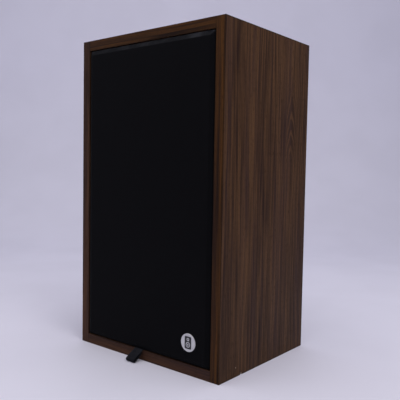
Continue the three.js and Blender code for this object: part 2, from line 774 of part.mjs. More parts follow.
/** The tweeter. In its own frame, y is the depth behind the baffle's front face. */
function buildTweeter() {
  const driver = place(0, baffleFrontY, tweeterZ);
  const { radius, mouth, lip, flare, domeRadius, surroundRadius, membrane } = TWEETER;
  const faceBack = BAFFLE.rebate;
  const faceplate = turned(
    [
      [mouth, faceBack],
      [mouth, faceBack - 1],
      [mouth + lip.width, lip.depth],
      [flare, 0],
      [radius, 0],
      [radius, faceBack],
    ],
    MEDIUM,
  );
  piece(driver, "tweeter_faceplate", cut(faceplate, ...rimHoles(tweeterBolts)), "blackPlastic");

  const domeBase = faceBack + RUNNING_GAP + membrane;
  const plateStart = domeBase + membrane / 2 + RUNNING_GAP + 0.2;
  const plateEnd = plateStart + TWEETER.plate;
  const magnetEnd = plateEnd + TWEETER.magnet;
  const plateRadius = tweeterMagnet - TWEETER.plateInset;
  const coilInner = domeRadius - TWEETER.coilWall / 2;
  const coilOuter = domeRadius + TWEETER.coilWall / 2;
  const gapOuter = coilOuter + RUNNING_GAP;
  const pole = coilInner - RUNNING_GAP;

  const domeSteps = 5;
  const dome = Array.from({ length: domeSteps + 1 }, (_, i) => {
    const angle = (Math.PI / 2) * (i / domeSteps);
    return [domeRadius * Math.sin(angle), domeBase - TWEETER.domeHeight * Math.cos(angle)];
  });
  const domeRoll = (domeRadius + surroundRadius) / 2;
  const rollTop = domeBase - TWEETER.rollHeight;
  const domePath = [...dome, [domeRoll, rollTop], [surroundRadius, domeBase]];
  piece(driver, "tweeter_dome", turnedSheet(domePath, membrane, MEDIUM), "silk");

  const coilStart = domeBase + membrane / 2 + 0.1;
  const coil = ring(coilInner, coilOuter, [coilStart, plateEnd - 0.5], MEDIUM);
  piece(driver, "tweeter_voice_coil", coil, "copper");

  // The top plate carries a rim that meets the faceplate's back.
  const topPlate = turned(
    [
      [gapOuter, plateStart],
      [surroundRadius + 2, plateStart],
      [surroundRadius + 2, faceBack],
      [plateRadius, faceBack],
      [plateRadius, plateEnd],
      [gapOuter, plateEnd],
    ],
    MEDIUM,
  );
  piece(driver, "tweeter_top_plate", topPlate, "zinc");
  piece(
    driver,
    "tweeter_magnet",
    ring(TWEETER.magnetBore, tweeterMagnet, [plateEnd, magnetEnd], MEDIUM),
    "ferrite",
  );
  const yoke = turned(
    [
      [0, plateStart],
      [pole, plateStart],
      [pole, magnetEnd],
      [plateRadius, magnetEnd],
      [plateRadius, magnetEnd + TWEETER.backPlate],
      [0, magnetEnd + TWEETER.backPlate],
    ],
    MEDIUM,
  );
  piece(driver, "tweeter_back_plate", yoke, "zinc");
  addScrews(tweeterZ, tweeterBolts, "tweeter");
}

// ---------------------------------------------------------------- terminals, crossover and wiring

/** Places inside the terminal cup, in the frame of its centre on the back panel's outer face. */
const cupFloor = TERMINAL.flangeThickness - TERMINAL.depth; // the recess's bottom
const leverPivot = [
  cupFloor + TERMINAL.pivot.depth,
  TERMINAL.recess[1] / 2 - TERMINAL.pivot.inset,
]; // [y, z] of both levers' hinge
const leverX = [-1, 1].map((sign) => (sign * TERMINAL.leverSpacing) / 2);

/** The cup's shell: a flange on the back panel, a recess, hinge ears and two wire guides. */
function terminalCup() {
  const { flange, recess, wall, flangeThickness, leverWidth, leverGap } = TERMINAL;
  const { earWidth, ear, guide, wireRadius, pinRadius, clip } = TERMINAL;
  const half = ([x, z], grow = 0) => [
    [-x / 2 - grow, x / 2 + grow],
    [-z / 2 - grow, z / 2 + grow],
  ];
  const [flangeX, flangeZ] = half(flange);
  const [outerX, outerZ] = half(recess, wall);
  const [innerSpanX, innerSpanZ] = half(recess);
  const [pivotY, pivotZ] = leverPivot;
  const shell = cut(
    join(
      block(flangeX, [0, flangeThickness], flangeZ),
      block(outerX, [cupFloor - wall, flangeThickness], outerZ),
    ),
    block(innerSpanX, [cupFloor, flangeThickness + PAST], innerSpanZ),
  );
  const between = TERMINAL.leverSpacing - leverWidth - 2 * leverGap;
  const outerEar = (TERMINAL.leverSpacing + leverWidth) / 2 + leverGap;
  const earSpans = [
    [-outerEar - earWidth, -outerEar],
    [-between / 2, between / 2],
    [outerEar, outerEar + earWidth],
  ];
  const ears = earSpans.map((span) =>
    block(span, [cupFloor - ROOT, pivotY + ear.over], [pivotZ - ear.below, pivotZ + ear.above]),
  );
  const guideBottom = innerSpanZ[0] + guide.inset;
  const guideZ = guideBottom + guide.height / 2;
  const guides = leverX.map((x) =>
    block(
      [x - guide.width / 2, x + guide.width / 2],
      [cupFloor - ROOT, cupFloor + guide.depth],
      [guideBottom, guideBottom + guide.height],
    ),
  );
  const wireHoles = leverX.map((x) =>
    rod(wireRadius, [cupFloor + ROOT, cupFloor + guide.depth + PAST], SMALL, x, guideZ),
  );
  const pinReach = outerEar + earWidth - FIT_GAP;
  const pinHole = rodX(pinRadius + FIT_GAP, [-pinReach, pinReach], SMALL, pivotY, pivotZ);
  const slotX = clip.width / 2 + FIT_GAP;
  const slotZ = clip.sheet / 2 + FIT_GAP;
  const clipSlots = leverX.map((x) =>
    block(
      [x - slotX, x + slotX],
      [cupFloor - wall - PAST, cupFloor + PAST],
      [-clip.drop - slotZ, -clip.drop + slotZ],
    ),
  );
  return cut(join(shell, ...ears, ...guides), ...wireHoles, pinHole, ...clipSlots);
}

/** A push lever: a hub with stub pins, and a thumb pad that leans outward below it. */
function terminalLever(x) {
  const [pivotY, pivotZ] = leverPivot;
  const { leverWidth, hubRadius, pinRadius } = TERMINAL;
  const span = [x - leverWidth / 2, x + leverWidth / 2];
  const tip = -6.5;
  const arm = prismX(
    [
      [pivotY - hubRadius + 0.4, pivotZ],
      [pivotY + 5, tip - 1.5],
      [pivotY + 9, tip],
      [pivotY + 9.5, tip + 4],
      [pivotY + hubRadius - 0.2, pivotZ + 0.4],
    ],
    span,
  );
  const hub = rodX(hubRadius, span, SMALL, pivotY, pivotZ);
  const stub = TERMINAL.earWidth - TERMINAL.leverGap;
  const pins = rodX(pinRadius, [span[0] - stub, span[1] + stub], SMALL, pivotY, pivotZ);
  return join(arm, hub, pins);
}

/** A sprung contact: a solder tag inside the cabinet and a leaf that grips the wire under the lever. */
function terminalClip(x) {
  const { width, sheet, drop, tag } = TERMINAL.clip;
  const outline = [
    [cupFloor - tag, -drop - sheet / 2],
    [cupFloor + 1.6, -drop - sheet / 2],
    [cupFloor + 4.6, -drop + 1.6],
    [cupFloor + 4, -drop + 2.2],
    [cupFloor + 1.2, -drop + sheet / 2],
    [cupFloor - tag, -drop + sheet / 2],
  ];
  return prismX(outline, [x - width / 2, x + width / 2]);
}

function buildTerminals() {
  const cup = place(0, backOuterY, TERMINAL.height);
  piece(cup, "terminal_cup", terminalCup(), "blackPlastic");
  const [redX, blackX] = leverX;
  piece(cup, "terminal_lever_red", terminalLever(redX), "redPlastic");
  piece(cup, "terminal_lever_black", terminalLever(blackX), "blackPlastic");
  piece(cup, "terminal_clip_red", terminalClip(redX), "brass");
  piece(cup, "terminal_clip_black", terminalClip(blackX), "brass");
}

function buildCrossover() {
  const [boardX, boardZ, boardThickness] = CROSSOVER.board;
  const board = place(0, backInnerY, CROSSOVER.height);
  const face = -boardThickness;
  piece(
    board,
    "crossover_board",
    block([-boardX / 2, boardX / 2], [face, 0], [-boardZ / 2, boardZ / 2]),
    "board",
  );
  const coil = ring(
    CROSSOVER.coilBore,
    CROSSOVER.coilRadius,
    [face - CROSSOVER.coilHeight, face],
    MEDIUM,
  ).translate(-boardX / 4, 0, 4);
  piece(board, "crossover_inductor", coil, "copper");
  const { capacitorRadius, capacitorLength } = CROSSOVER;
  const can = rodX(
    capacitorRadius,
    [boardX / 4 - capacitorLength / 2, boardX / 4 + capacitorLength / 2],
    MEDIUM / 2,
    face - capacitorRadius - 0.2,
    12,
  );
  piece(board, "crossover_capacitor", can, "capacitor");
}

/** Internal cables, each along its own route between two pieces. */
function buildCables() {
  const [boardX, boardZ, boardThickness] = CROSSOVER.board;
  const boardFace = backInnerY - boardThickness - CABLE.radius - CABLE.lift;
  const clipEnd = backOuterY + cupFloor - TERMINAL.clip.tag - FIT_GAP;
  const boardBottom = CROSSOVER.height - boardZ / 2;
  const input = [
    [0, clipEnd - CABLE.radius, TERMINAL.height - TERMINAL.clip.drop],
    [4, clipEnd - 22, TERMINAL.height + 6],
    [10, clipEnd - 24, (TERMINAL.height + boardBottom) / 2],
    [14, boardFace - 8, boardBottom + 4],
    [16, boardFace, boardBottom + 20],
  ];
  piece(speaker, "input_cable", cable(input, 16), "cable");

  const tagZ = wooferZ + WOOFER.ledgeRadius + TAG_STRIP.fromLedge + TAG_STRIP.height;
  const tagY = baffleFrontY + WOOFER.gasket + WOOFER.ledge + 2 + FIT_GAP + CABLE.radius;
  const wooferEnd = [
    [0, tagY, tagZ - 8],
    [2, tagY + 12, tagZ - 4],
    [30, (tagY + boardFace) / 2, tagZ - 20],
    [boardX / 2 - 4, boardFace - 22, CROSSOVER.height - 16],
    [boardX / 2 - 14, boardFace, CROSSOVER.height - 26],
  ];
  piece(speaker, "woofer_cable", cable(wooferEnd, 20), "cable");

  const tweeterBack = baffleFrontY + BAFFLE.rebate + 2.2 + TWEETER.plate + TWEETER.magnet;
  const tweeterY = tweeterBack + TWEETER.backPlate + CABLE.radius + CABLE.lift;
  const boardTop = CROSSOVER.height + boardZ / 2;
  const tweeterEnd = [
    [-8, tweeterY, tweeterZ],
    [-12, tweeterY + 16, tweeterZ - 12],
    [-26, tweeterY + 20, tweeterZ - 60],
    [-44, (tweeterY + boardFace) / 2, boardTop - 14],
    [-boardX / 2 + 2, boardFace - 26, boardTop - 16],
    [-boardX / 2 + 6, boardFace, boardTop - 6],
  ];
  piece(speaker, "tweeter_cable", cable(tweeterEnd, 22), "cable");
}

buildCarcass();
buildBaffle();
buildBack();
buildGrille();
buildPullTab();
buildWoofer();
buildTweeter();
buildTerminals();
buildCrossover();
buildCables();

export default speaker;
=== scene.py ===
"""The looks of a two-way bookshelf loudspeaker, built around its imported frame.

Metres, +Z up. The front faces -Y, and the origin is the centre of the cabinet's underside.
"""

import logging
import math
from dataclasses import dataclass
from enum import Enum
from typing import Callable, Iterable, Sequence

import bmesh
import bpy
from mathutils import Matrix, Vector, noise


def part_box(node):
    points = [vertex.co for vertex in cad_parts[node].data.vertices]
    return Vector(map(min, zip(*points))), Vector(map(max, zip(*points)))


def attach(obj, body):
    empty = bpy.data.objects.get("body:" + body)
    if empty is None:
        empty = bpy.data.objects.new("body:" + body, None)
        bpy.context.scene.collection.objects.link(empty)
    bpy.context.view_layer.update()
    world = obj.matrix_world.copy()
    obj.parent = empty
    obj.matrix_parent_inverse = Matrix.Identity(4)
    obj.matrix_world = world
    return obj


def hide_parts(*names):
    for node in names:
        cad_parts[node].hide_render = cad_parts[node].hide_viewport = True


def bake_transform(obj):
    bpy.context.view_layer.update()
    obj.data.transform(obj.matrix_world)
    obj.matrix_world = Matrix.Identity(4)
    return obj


LOG = logging.getLogger("speaker")
MM = 0.001
TAU = 2 * math.pi
TINY = 1e-7
QUARTERS = ((1, 1), (-1, 1), (-1, -1), (1, -1))

Object = bpy.types.Object
Socket = bpy.types.NodeSocket
Node = bpy.types.Node
Point = Sequence[float]
Colour = tuple[float, float, float, float]
Value = float | Sequence[float] | Socket

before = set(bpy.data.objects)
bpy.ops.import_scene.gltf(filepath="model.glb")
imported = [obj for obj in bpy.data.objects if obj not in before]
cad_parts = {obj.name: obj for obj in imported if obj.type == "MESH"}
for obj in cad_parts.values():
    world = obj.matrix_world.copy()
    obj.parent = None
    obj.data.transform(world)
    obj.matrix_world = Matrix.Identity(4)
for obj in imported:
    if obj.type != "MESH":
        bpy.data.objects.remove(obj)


class Body(str, Enum):
    """The bodies that pieces ride on."""

    CABINET = "cabinet"
    GRILLE = "grille"
    TAB = "tab"
    WOOFER = "woofer_diaphragm"
    TWEETER = "tweeter_diaphragm"


class Axis(Enum):
    """A direction in the row frame."""

    X = 0
    Y = 1
    Z = 2


class Kind(str, Enum):
    """The socket types of a shader node group."""

    NUMBER = "NodeSocketFloat"
    VECTOR = "NodeSocketVector"


def srgb(red: float, green: float, blue: float) -> Colour:
    """A colour from 0 to 255 a channel, as linear light."""
    linear = [
        (c / 255 / 12.92) if c <= 10 else ((c / 255 + 0.055) / 1.055) ** 2.4 for c in (red, green, blue)
    ]
    return (linear[0], linear[1], linear[2], 1.0)


# ---------------------------------------------------------------- shader graphs


class Graph:
    """A node tree that is being filled in."""

    def __init__(self, tree: bpy.types.NodeTree) -> None:
        """Keeps the tree."""
        self.tree = tree

    def feed(self, socket: Socket, value: Value) -> None:
        """Links a socket to another, or sets its value.

        Args:
            socket: The socket that is fed.
            value: Another socket, or a plain value.
        """
        if isinstance(value, bpy.types.NodeSocket):
            self.tree.links.new(value, socket)
        else:
            socket.default_value = value

    def node(self, kind: str, inputs: dict[str | int, Value] | None = None, **settings: object) -> Node:
        """Adds a node.

        Args:
            kind: The node's type.
            inputs: Values or sockets for its inputs, by name or number.
            **settings: The node's own properties.

        Returns:
            The node.
        """
        made = self.tree.nodes.new(kind)
        for key, value in settings.items():
            setattr(made, key, value)
        for key, value in (inputs or {}).items():
            self.feed(made.inputs[key], value)
        return made

    def maths(self, operation: str, *values: Value) -> Socket:
        """A Math node's result."""
        return self.node("ShaderNodeMath", dict(enumerate(values)), operation=operation).outputs[0]

    def times(self, first: Value, second: Value) -> Socket:
        """The product of two numbers."""
        return self.maths("MULTIPLY", first, second)

    def plus(self, first: Value, second: Value) -> Socket:
        """The sum of two numbers."""
        return self.maths("ADD", first, second)

    def minus(self, first: Value, second: Value) -> Socket:
        """The first number less the second."""
        return self.maths("SUBTRACT", first, second)

    def over(self, first: Value, second: Value) -> Socket:
        """The first number divided by the second."""
        return self.maths("DIVIDE", first, second)

    def line(self, value: Value, slope: Value, start: Value) -> Socket:
        """A value times a slope, plus a start."""
        return self.maths("MULTIPLY_ADD", value, slope, start)

    def vectors(self, operation: str, *values: Value) -> Node:
        """A Vector Math node."""
        return self.node("ShaderNodeVectorMath", dict(enumerate(values)), operation=operation)

    def combine(self, x: Value, y: Value, z: Value) -> Socket:
        """Three numbers as a vector."""
        return self.node("ShaderNodeCombineXYZ", {0: x, 1: y, 2: z}).outputs[0]

    def split(self, vector: Socket) -> list[Socket]:
        """A vector's three numbers."""
        return list(self.node("ShaderNodeSeparateXYZ", {0: vector}).outputs)

    def place(self) -> Socket:
        """The place on the object, in metres in the row frame at rest."""
        return self.node("ShaderNodeTexCoord").outputs["Object"]

    def noise(self, vector: Value, scale: Value, detail: float = 2.0, roughness: float = 0.5) -> Socket:
        """Smooth noise from 0 to 1, mostly near a half."""
        inputs = {"Vector": vector, "Scale": scale, "Detail": detail, "Roughness": roughness}
        return self.node("ShaderNodeTexNoise", inputs).outputs[0]

    def band(self, value: Value, low: float, high: float, out: tuple[float, float] = (0.0, 1.0)) -> Socket:
        """A value eased from low and high to the two limits in out."""
        inputs = {"Value": value, "From Min": low, "From Max": high, "To Min": out[0], "To Max": out[1]}
        return self.node("ShaderNodeMapRange", inputs, interpolation_type="SMOOTHSTEP").outputs[0]

    def mix(self, mask: Value, first: Value, second: Value) -> Socket:
        """The first colour where the mask is 0, the second where it is 1."""
        inputs = {0: mask, 6: first, 7: second}
        return self.node("ShaderNodeMix", inputs, data_type="RGBA").outputs[2]

    def bump(self, height: Socket, distance: float, strength: float = 1.0) -> Socket:
        """A normal from a height between 0 and 1 that stands for a real distance."""
        inputs = {"Strength": strength, "Distance": distance, "Height": height}
        return self.node("ShaderNodeBump", inputs).outputs[0]

    def effect(self, effect: "Effect", **given: Value) -> dict[str, Socket]:
        """Places a node group.

        Args:
            effect: Which group.
            **given: Its inputs, with underscores for spaces.

        Returns:
            Its outputs by name.
        """
        group = self.node("ShaderNodeGroup", node_tree=effect.tree())
        for key, value in given.items():
            self.feed(group.inputs[key.replace("_", " ")], value)
        return {socket.name: socket for socket in group.outputs}


@dataclass(frozen=True)
class Effect:
    """A shader node group that several materials use, built once."""

    name: str
    inputs: tuple[tuple[str, Kind, float], ...]
    outputs: tuple[str, ...]
    wire: Callable[[Graph, dict[str, Socket]], dict[str, Socket]]

    def tree(self) -> bpy.types.NodeTree:
        """The group's node tree, made the first time.

        Returns:
            The tree.
        """
        found = bpy.data.node_groups.get(self.name)
        if found:
            return found
        tree = bpy.data.node_groups.new(self.name, "ShaderNodeTree")
        for name, kind, default in self.inputs:
            socket = tree.interface.new_socket(name=name, in_out="INPUT", socket_type=kind.value)
            if kind is Kind.NUMBER:
                socket.default_value = default
        for name in self.outputs:
            tree.interface.new_socket(name=name, in_out="OUTPUT", socket_type=Kind.NUMBER.value)
        graph = Graph(tree)
        given = {socket.name: socket for socket in graph.node("NodeGroupInput").outputs if socket.name}
        graph.node("NodeGroupOutput", dict(self.wire(graph, given)))
        return tree


def wire_walnut(graph: Graph, given: dict[str, Socket]) -> dict[str, Socket]:
    """Walnut figure: soft streaks along the grain, nested arches about one line, and fine pores.

    Args:
        graph: The node tree being wired.
        given: The group's inputs, by name.

    Returns:
        The tone, the pores and the hue.
    """
    across = given["Across"]
    along = given["Along"]
    seed = given["Seed"]
    drift = graph.noise(graph.combine(graph.times(across, 9.0), along, seed), 2.2, 1.0)
    sway = graph.times(graph.minus(drift, 0.5), 0.022)
    bent = graph.plus(across, sway)

    def streaks(width: float, length: float, detail: float) -> Socket:
        """Noise stretched along the grain, for streaks of this width and length."""
        u = graph.over(bent, width)
        v = graph.over(along, length)
        return graph.noise(graph.combine(u, v, graph.plus(seed, width * 900)), 1.0, detail, 0.5)

    broad = graph.band(streaks(0.036, 0.8, 1.0), 0.34, 0.66)
    middle = graph.band(streaks(0.0064, 0.26, 1.5), 0.34, 0.66)
    fine = graph.band(streaks(0.003, 0.12, 1.0), 0.36, 0.64)
    parts = [(broad, 0.16), (middle, 0.44), (fine, 0.4)]
    weighted = [graph.times(part, share) for part, share in parts]
    plain = graph.plus(graph.plus(weighted[0], weighted[1]), weighted[2])

    off = graph.over(graph.minus(bent, given["Arch Across"]), 0.012)
    rise = graph.over(graph.minus(along, given["Arch Along"]), 0.036)
    nest = graph.plus(graph.maths("POWER", graph.maths("ABSOLUTE", off), 1.3), rise)
    waver = graph.noise(graph.combine(graph.times(bent, 90.0), graph.times(along, 14.0), seed), 1.0)
    ring = graph.maths("SINE", graph.times(graph.plus(nest, waver), TAU))
    arch = graph.band(ring, 0.1, 0.98, (0.12, 1.0))
    near = graph.band(graph.maths("ABSOLUTE", off), 0.7, 2.2, (1.0, 0.0))
    reach = graph.band(graph.maths("ABSOLUTE", rise), 0.5, 2.6, (1.0, 0.0))
    share = graph.times(graph.times(near, reach), given["Arches"])
    kept = graph.times(plain, graph.minus(1.0, share))
    tone = graph.plus(kept, graph.times(arch, share))

    pore = graph.combine(graph.over(bent, 0.0007), graph.over(along, 0.011), seed)
    pores = graph.band(graph.noise(pore, 1.0, 1.0), 0.56, 0.7)
    return {"Tone": tone, "Pores": pores, "Hue": streaks(0.027, 0.8, 1.0)}


def wire_edge_wear(graph: Graph, given: dict[str, Socket]) -> dict[str, Socket]:
    """A mask of the outer edges, broken up as rubbing leaves it.

    Args:
        graph: The node tree being wired.
        given: The group's inputs, by name.

    Returns:
        The mask.
    """
    rounded = graph.node("ShaderNodeBevel", {"Radius": given["Reach"]}, samples=4).outputs[0]
    flat = graph.node("ShaderNodeNewGeometry").outputs["Normal"]
    bend = graph.minus(1.0, graph.vectors("DOT_PRODUCT", rounded, flat).outputs["Value"])
    edge = graph.band(bend, 0.015, 0.16)
    patchy = graph.band(graph.noise(graph.place(), given["Scale"], 3.0, 0.6), 0.36, 0.66)
    broken = graph.maths("MAXIMUM", patchy, given["Evenness"])
    return {"Mask": graph.times(graph.times(edge, broken), given["Amount"])}


def wire_weave(graph: Graph, given: dict[str, Socket]) -> dict[str, Socket]:
    """A plain weave: two sets of threads, over and under in turn.

    Args:
        graph: The node tree being wired.
        given: The group's inputs, by name.

    Returns:
        The height, the gaps and the slubs.
    """
    u, v, _ = graph.split(given["Vector"])
    scaled = [graph.over(part, given["Pitch"]) for part in (u, v)]

    def threads(across: Socket, along: Socket, phase: float) -> Socket:
        """The height of one set of threads.

        Args:
            across: The place across the threads.
            along: The place along them.
            phase: Where their wave starts.

        Returns:
            The height.
        """
        round_top = graph.maths("ABSOLUTE", graph.maths("SINE", graph.times(across, math.pi)))
        turn = graph.plus(graph.maths("FLOOR", across), graph.plus(along, phase))
        over = graph.maths("SINE", graph.times(turn, math.pi))
        return graph.times(round_top, graph.line(over, 0.35, 0.65))

    warp = threads(scaled[0], scaled[1], 0.0)
    weft = threads(scaled[1], scaled[0], 1.0)
    height = graph.maths("MAXIMUM", warp, weft)
    slub = graph.noise(graph.combine(graph.times(scaled[0], 0.9), graph.times(scaled[1], 0.08), 0.0), 1.0)
    return {"Height": height, "Gap": graph.band(height, 0.15, 0.55, (1.0, 0.0)), "Slub": slub}


def wire_dust(graph: Graph, given: dict[str, Socket]) -> dict[str, Socket]:
    """Specks and a faint veil of dust on what faces up; set strong, as on the grille cloth, it is mostly a
    painted highlight on upward faces.

    Args:
        graph: The node tree being wired.
        given: The group's inputs, by name.

    Returns:
        The mask.
    """
    up = graph.split(graph.node("ShaderNodeNewGeometry").outputs["Normal"])[2]
    lying = graph.band(up, 0.05, 0.9)
    place = graph.place()
    veil = graph.band(graph.noise(place, 26.0, 3.0, 0.6), 0.4, 0.75, (0.1, 0.6))
    speck = graph.band(graph.noise(place, given["Scale"], 1.0), 0.69, 0.76)
    settled = graph.times(lying, graph.maths("MAXIMUM", veil, speck))
    found = graph.maths("MAXIMUM", settled, graph.times(speck, 0.1))
    return {"Mask": graph.times(found, given["Amount"])}


def wire_speckle(graph: Graph, given: dict[str, Socket]) -> dict[str, Socket]:
    """Fine mottling with a slower drift over it.

    Args:
        graph: The node tree being wired.
        given: The group's inputs, by name.

    Returns:
        The fine mottling and the slow drift.
    """
    place = given["Vector"]
    fine = graph.band(graph.noise(place, given["Scale"], 3.0, 0.6), 0.3, 0.7)
    slow = graph.band(graph.noise(place, graph.times(given["Scale"], 0.06), 2.0), 0.3, 0.7)
    return {"Fine": fine, "Slow": slow}


def wire_lathe(graph: Graph, given: dict[str, Socket]) -> dict[str, Socket]:
    """Turning marks about an axis along Y.

    Args:
        graph: The node tree being wired.
        given: The group's inputs, by name.

    Returns:
        The marks.
    """
    x, _, z = graph.split(graph.place())
    side = graph.minus(x, given["Centre X"])
    lift = graph.minus(z, given["Centre Z"])
    radius = graph.vectors("LENGTH", graph.combine(side, lift, 0.0)).outputs["Value"]
    marks = graph.noise(graph.combine(graph.over(radius, given["Pitch"]), 0.0, 0.0), 1.0, 2.0)
    return {"Marks": graph.band(marks, 0.3, 0.7)}


WALNUT = Effect(
    "Walnut Figure",
    (
        ("Across", Kind.NUMBER, 0.0),
        ("Along", Kind.NUMBER, 0.0),
        ("Seed", Kind.NUMBER, 0.0),
        ("Arch Across", Kind.NUMBER, 0.0),
        ("Arch Along", Kind.NUMBER, 0.0),
        ("Arches", Kind.NUMBER, 0.0),
    ),
    ("Tone", "Pores", "Hue"),
    wire_walnut,
)
EDGE_WEAR = Effect(
    "Edge Wear",
    (
        ("Reach", Kind.NUMBER, 0.001),
        ("Scale", Kind.NUMBER, 90.0),
        ("Amount", Kind.NUMBER, 1.0),
        ("Evenness", Kind.NUMBER, 0.0),
    ),
    ("Mask",),
    wire_edge_wear,
)
WEAVE = Effect(
    "Plain Weave",
    (("Vector", Kind.VECTOR, 0.0), ("Pitch", Kind.NUMBER, 0.001)),
    ("Height", "Gap", "Slub"),
    wire_weave,
)
DUST = Effect(
    "Settled Dust", (("Amount", Kind.NUMBER, 0.2), ("Scale", Kind.NUMBER, 900.0)), ("Mask",), wire_dust
)
SPECKLE = Effect(
    "Speckle",
    (("Vector", Kind.VECTOR, 0.0), ("Scale", Kind.NUMBER, 900.0)),
    ("Fine", "Slow"),
    wire_speckle,
)
LATHE = Effect(
    "Turning Marks",
    (("Centre X", Kind.NUMBER, 0.0), ("Centre Z", Kind.NUMBER, 0.0), ("Pitch", Kind.NUMBER, 0.0004)),
    ("Marks",),
    wire_lathe,
)


# ---------------------------------------------------------------- finishes


@dataclass(frozen=True)
class Finish:
    """A surface. Each kind of finish fills in one Principled shader."""

    name: str

    def paint(self, graph: Graph, shader: Node) -> None:
        """Feeds the shader."""
        raise NotImplementedError

    def material(self) -> bpy.types.Material:
        """The finish as a material, made the first time.

        Returns:
            The material.
        """
        found = bpy.data.materials.get(self.name)
        if found:
            return found
        made = bpy.data.materials.new(self.name)
        made.use_nodes = True
        made.node_tree.nodes.clear()
        graph = Graph(made.node_tree)
        shader = graph.node("ShaderNodeBsdfPrincipled")
        graph.node("ShaderNodeOutputMaterial", {"Surface": shader.outputs[0]})
        self.paint(graph, shader)
        return made


@dataclass(frozen=True)
class WalnutVinyl(Finish):
    """Woodgrain vinyl, with its grain along one axis.

    The place across the grain is the sum of the other two axes, so edges are streaked as faces are.
    """

    along: Axis = Axis.Z
    light: Colour = srgb(92, 65, 40)
    dark: Colour = srgb(38, 24, 19)
    plum: Colour = srgb(48, 33, 32)
    pore: Colour = srgb(30, 19, 15)
    edge_colour: Colour = srgb(20, 13, 11)
    seed: float = 1.0
    arch: tuple[float, float] = (0.0, 0.0)
    arches: float = 0.0
    roughness: float = 0.46
    rim: float = 3.0 * MM

    def paint(self, graph: Graph, shader: Node) -> None:
        """Streaks of two browns, plum dark streaks, pores, dark arrises and a fine emboss.

        Args:
            graph: The node tree being wired.
            shader: The material's shader node.
        """
        place = graph.split(graph.place())
        first, second = (place[axis.value] for axis in Axis if axis is not self.along)
        figure = graph.effect(
            WALNUT,
            Across=graph.plus(first, second),
            Along=place[self.along.value],
            Seed=self.seed,
            Arch_Across=self.arch[0],
            Arch_Along=self.arch[1],
            Arches=self.arches,
        )
        hue = graph.band(figure["Hue"], 0.4, 0.62)
        dark_streak = graph.mix(hue, self.dark, self.plum)
        wood = graph.mix(figure["Tone"], dark_streak, self.light)
        pored = graph.mix(graph.times(figure["Pores"], 0.5), wood, self.pore)
        # Darkens a band about 3 mm wide along every arris, nearly unbroken, in a near-black brown.
        wear = graph.effect(EDGE_WEAR, Reach=self.rim, Scale=70.0, Amount=0.9, Evenness=0.7)
        edged = graph.mix(wear["Mask"], pored, self.edge_colour)
        dust = graph.effect(DUST, Amount=0.06, Scale=700.0)
        graph.feed(shader.inputs["Base Color"], graph.mix(dust["Mask"], edged, srgb(150, 146, 142)))
        rough = graph.line(figure["Tone"], -0.06, self.roughness + 0.05)
        rough = graph.plus(rough, graph.times(figure["Pores"], 0.2))
        rough = graph.plus(rough, graph.times(dust["Mask"], 0.5))
        graph.feed(shader.inputs["Roughness"], rough)
        relief = graph.minus(graph.times(figure["Tone"], 0.25), figure["Pores"])
        graph.feed(shader.inputs["Normal"], graph.bump(relief, 0.06 * MM, 0.6))
        shader.inputs["Specular IOR Level"].default_value = 0.075


@dataclass(frozen=True)
class Board(Finish):
    """Painted or raw wood-fibre board."""

    base: Colour = srgb(34, 32, 31)
    fleck: Colour = srgb(62, 56, 50)
    edge_colour: Colour = srgb(96, 78, 58)
    grain: float = 620.0
    roughness: float = 0.78

    def paint(self, graph: Graph, shader: Node) -> None:
        """Pressed flecks under paint that is rubbed at the edges.

        Args:
            graph: The node tree being wired.
            shader: The material's shader node.
        """
        spots = graph.effect(SPECKLE, Vector=graph.place(), Scale=self.grain)
        flecked = graph.mix(graph.times(spots["Fine"], 0.55), self.base, self.fleck)
        wear = graph.effect(EDGE_WEAR, Reach=1.2 * MM, Scale=120.0, Amount=0.7)
        edged = graph.mix(wear["Mask"], flecked, self.edge_colour)
        dust = graph.effect(DUST, Amount=0.35, Scale=800.0)
        graph.feed(shader.inputs["Base Color"], graph.mix(dust["Mask"], edged, srgb(128, 124, 118)))
        rough = graph.line(spots["Slow"], 0.14, self.roughness - 0.07)
        graph.feed(shader.inputs["Roughness"], rough)
        graph.feed(shader.inputs["Normal"], graph.bump(spots["Fine"], 0.12 * MM, 0.6))


@dataclass(frozen=True)
class Woven(Finish):
    """Woven cloth, laid out by its own flat coordinates or by two axes of the frame."""

    thread: Colour = srgb(8, 8, 11)
    gap: Colour = srgb(3, 3, 4)
    pitch: float = 0.8 * MM
    flat: bool = True
    depth: float = 0.2 * MM
    roughness: float = 0.9
    sheen: float = 0.04
    sheen_tint: Colour = srgb(120, 130, 150)
    lint_and_top_light: float = 0.06

    def paint(self, graph: Graph, shader: Node) -> None:
        """Threads with slubs, dark gaps between them and pale specks on upward faces; on the grille cloth these
        are set strong, and are mostly a painted highlight on its top bevel.

        Args:
            graph: The node tree being wired.
            shader: The material's shader node.
        """
        if self.flat:
            sheet = graph.node("ShaderNodeUVMap", uv_map="flat").outputs[0]
        else:
            x, _, z = graph.split(graph.place())
            sheet = graph.combine(x, z, 0.0)
        weave = graph.effect(WEAVE, Vector=sheet, Pitch=self.pitch)
        slub = graph.band(weave["Slub"], 0.3, 0.7, (0.55, 1.0))
        thread = graph.mix(slub, self.gap, self.thread)
        cloth = graph.mix(graph.times(weave["Gap"], 0.85), thread, self.gap)
        # Pale specks on upward faces: a little real fluff, but at the grille cloth's strength mostly a painted
        # highlight on the top bevel and top wrap, where overhead light falls.
        dust = graph.effect(DUST, Amount=self.lint_and_top_light, Scale=1100.0)
        graph.feed(shader.inputs["Base Color"], graph.mix(dust["Mask"], cloth, srgb(120, 122, 130)))
        rough = graph.line(weave["Height"], -0.12, self.roughness + 0.06)
        graph.feed(shader.inputs["Roughness"], rough)
        graph.feed(shader.inputs["Normal"], graph.bump(weave["Height"], self.depth, 0.8))
        shader.inputs["Sheen Weight"].default_value = self.sheen
        shader.inputs["Sheen Roughness"].default_value = 0.45
        shader.inputs["Sheen Tint"].default_value = self.sheen_tint
        shader.inputs["Specular IOR Level"].default_value = 0.1


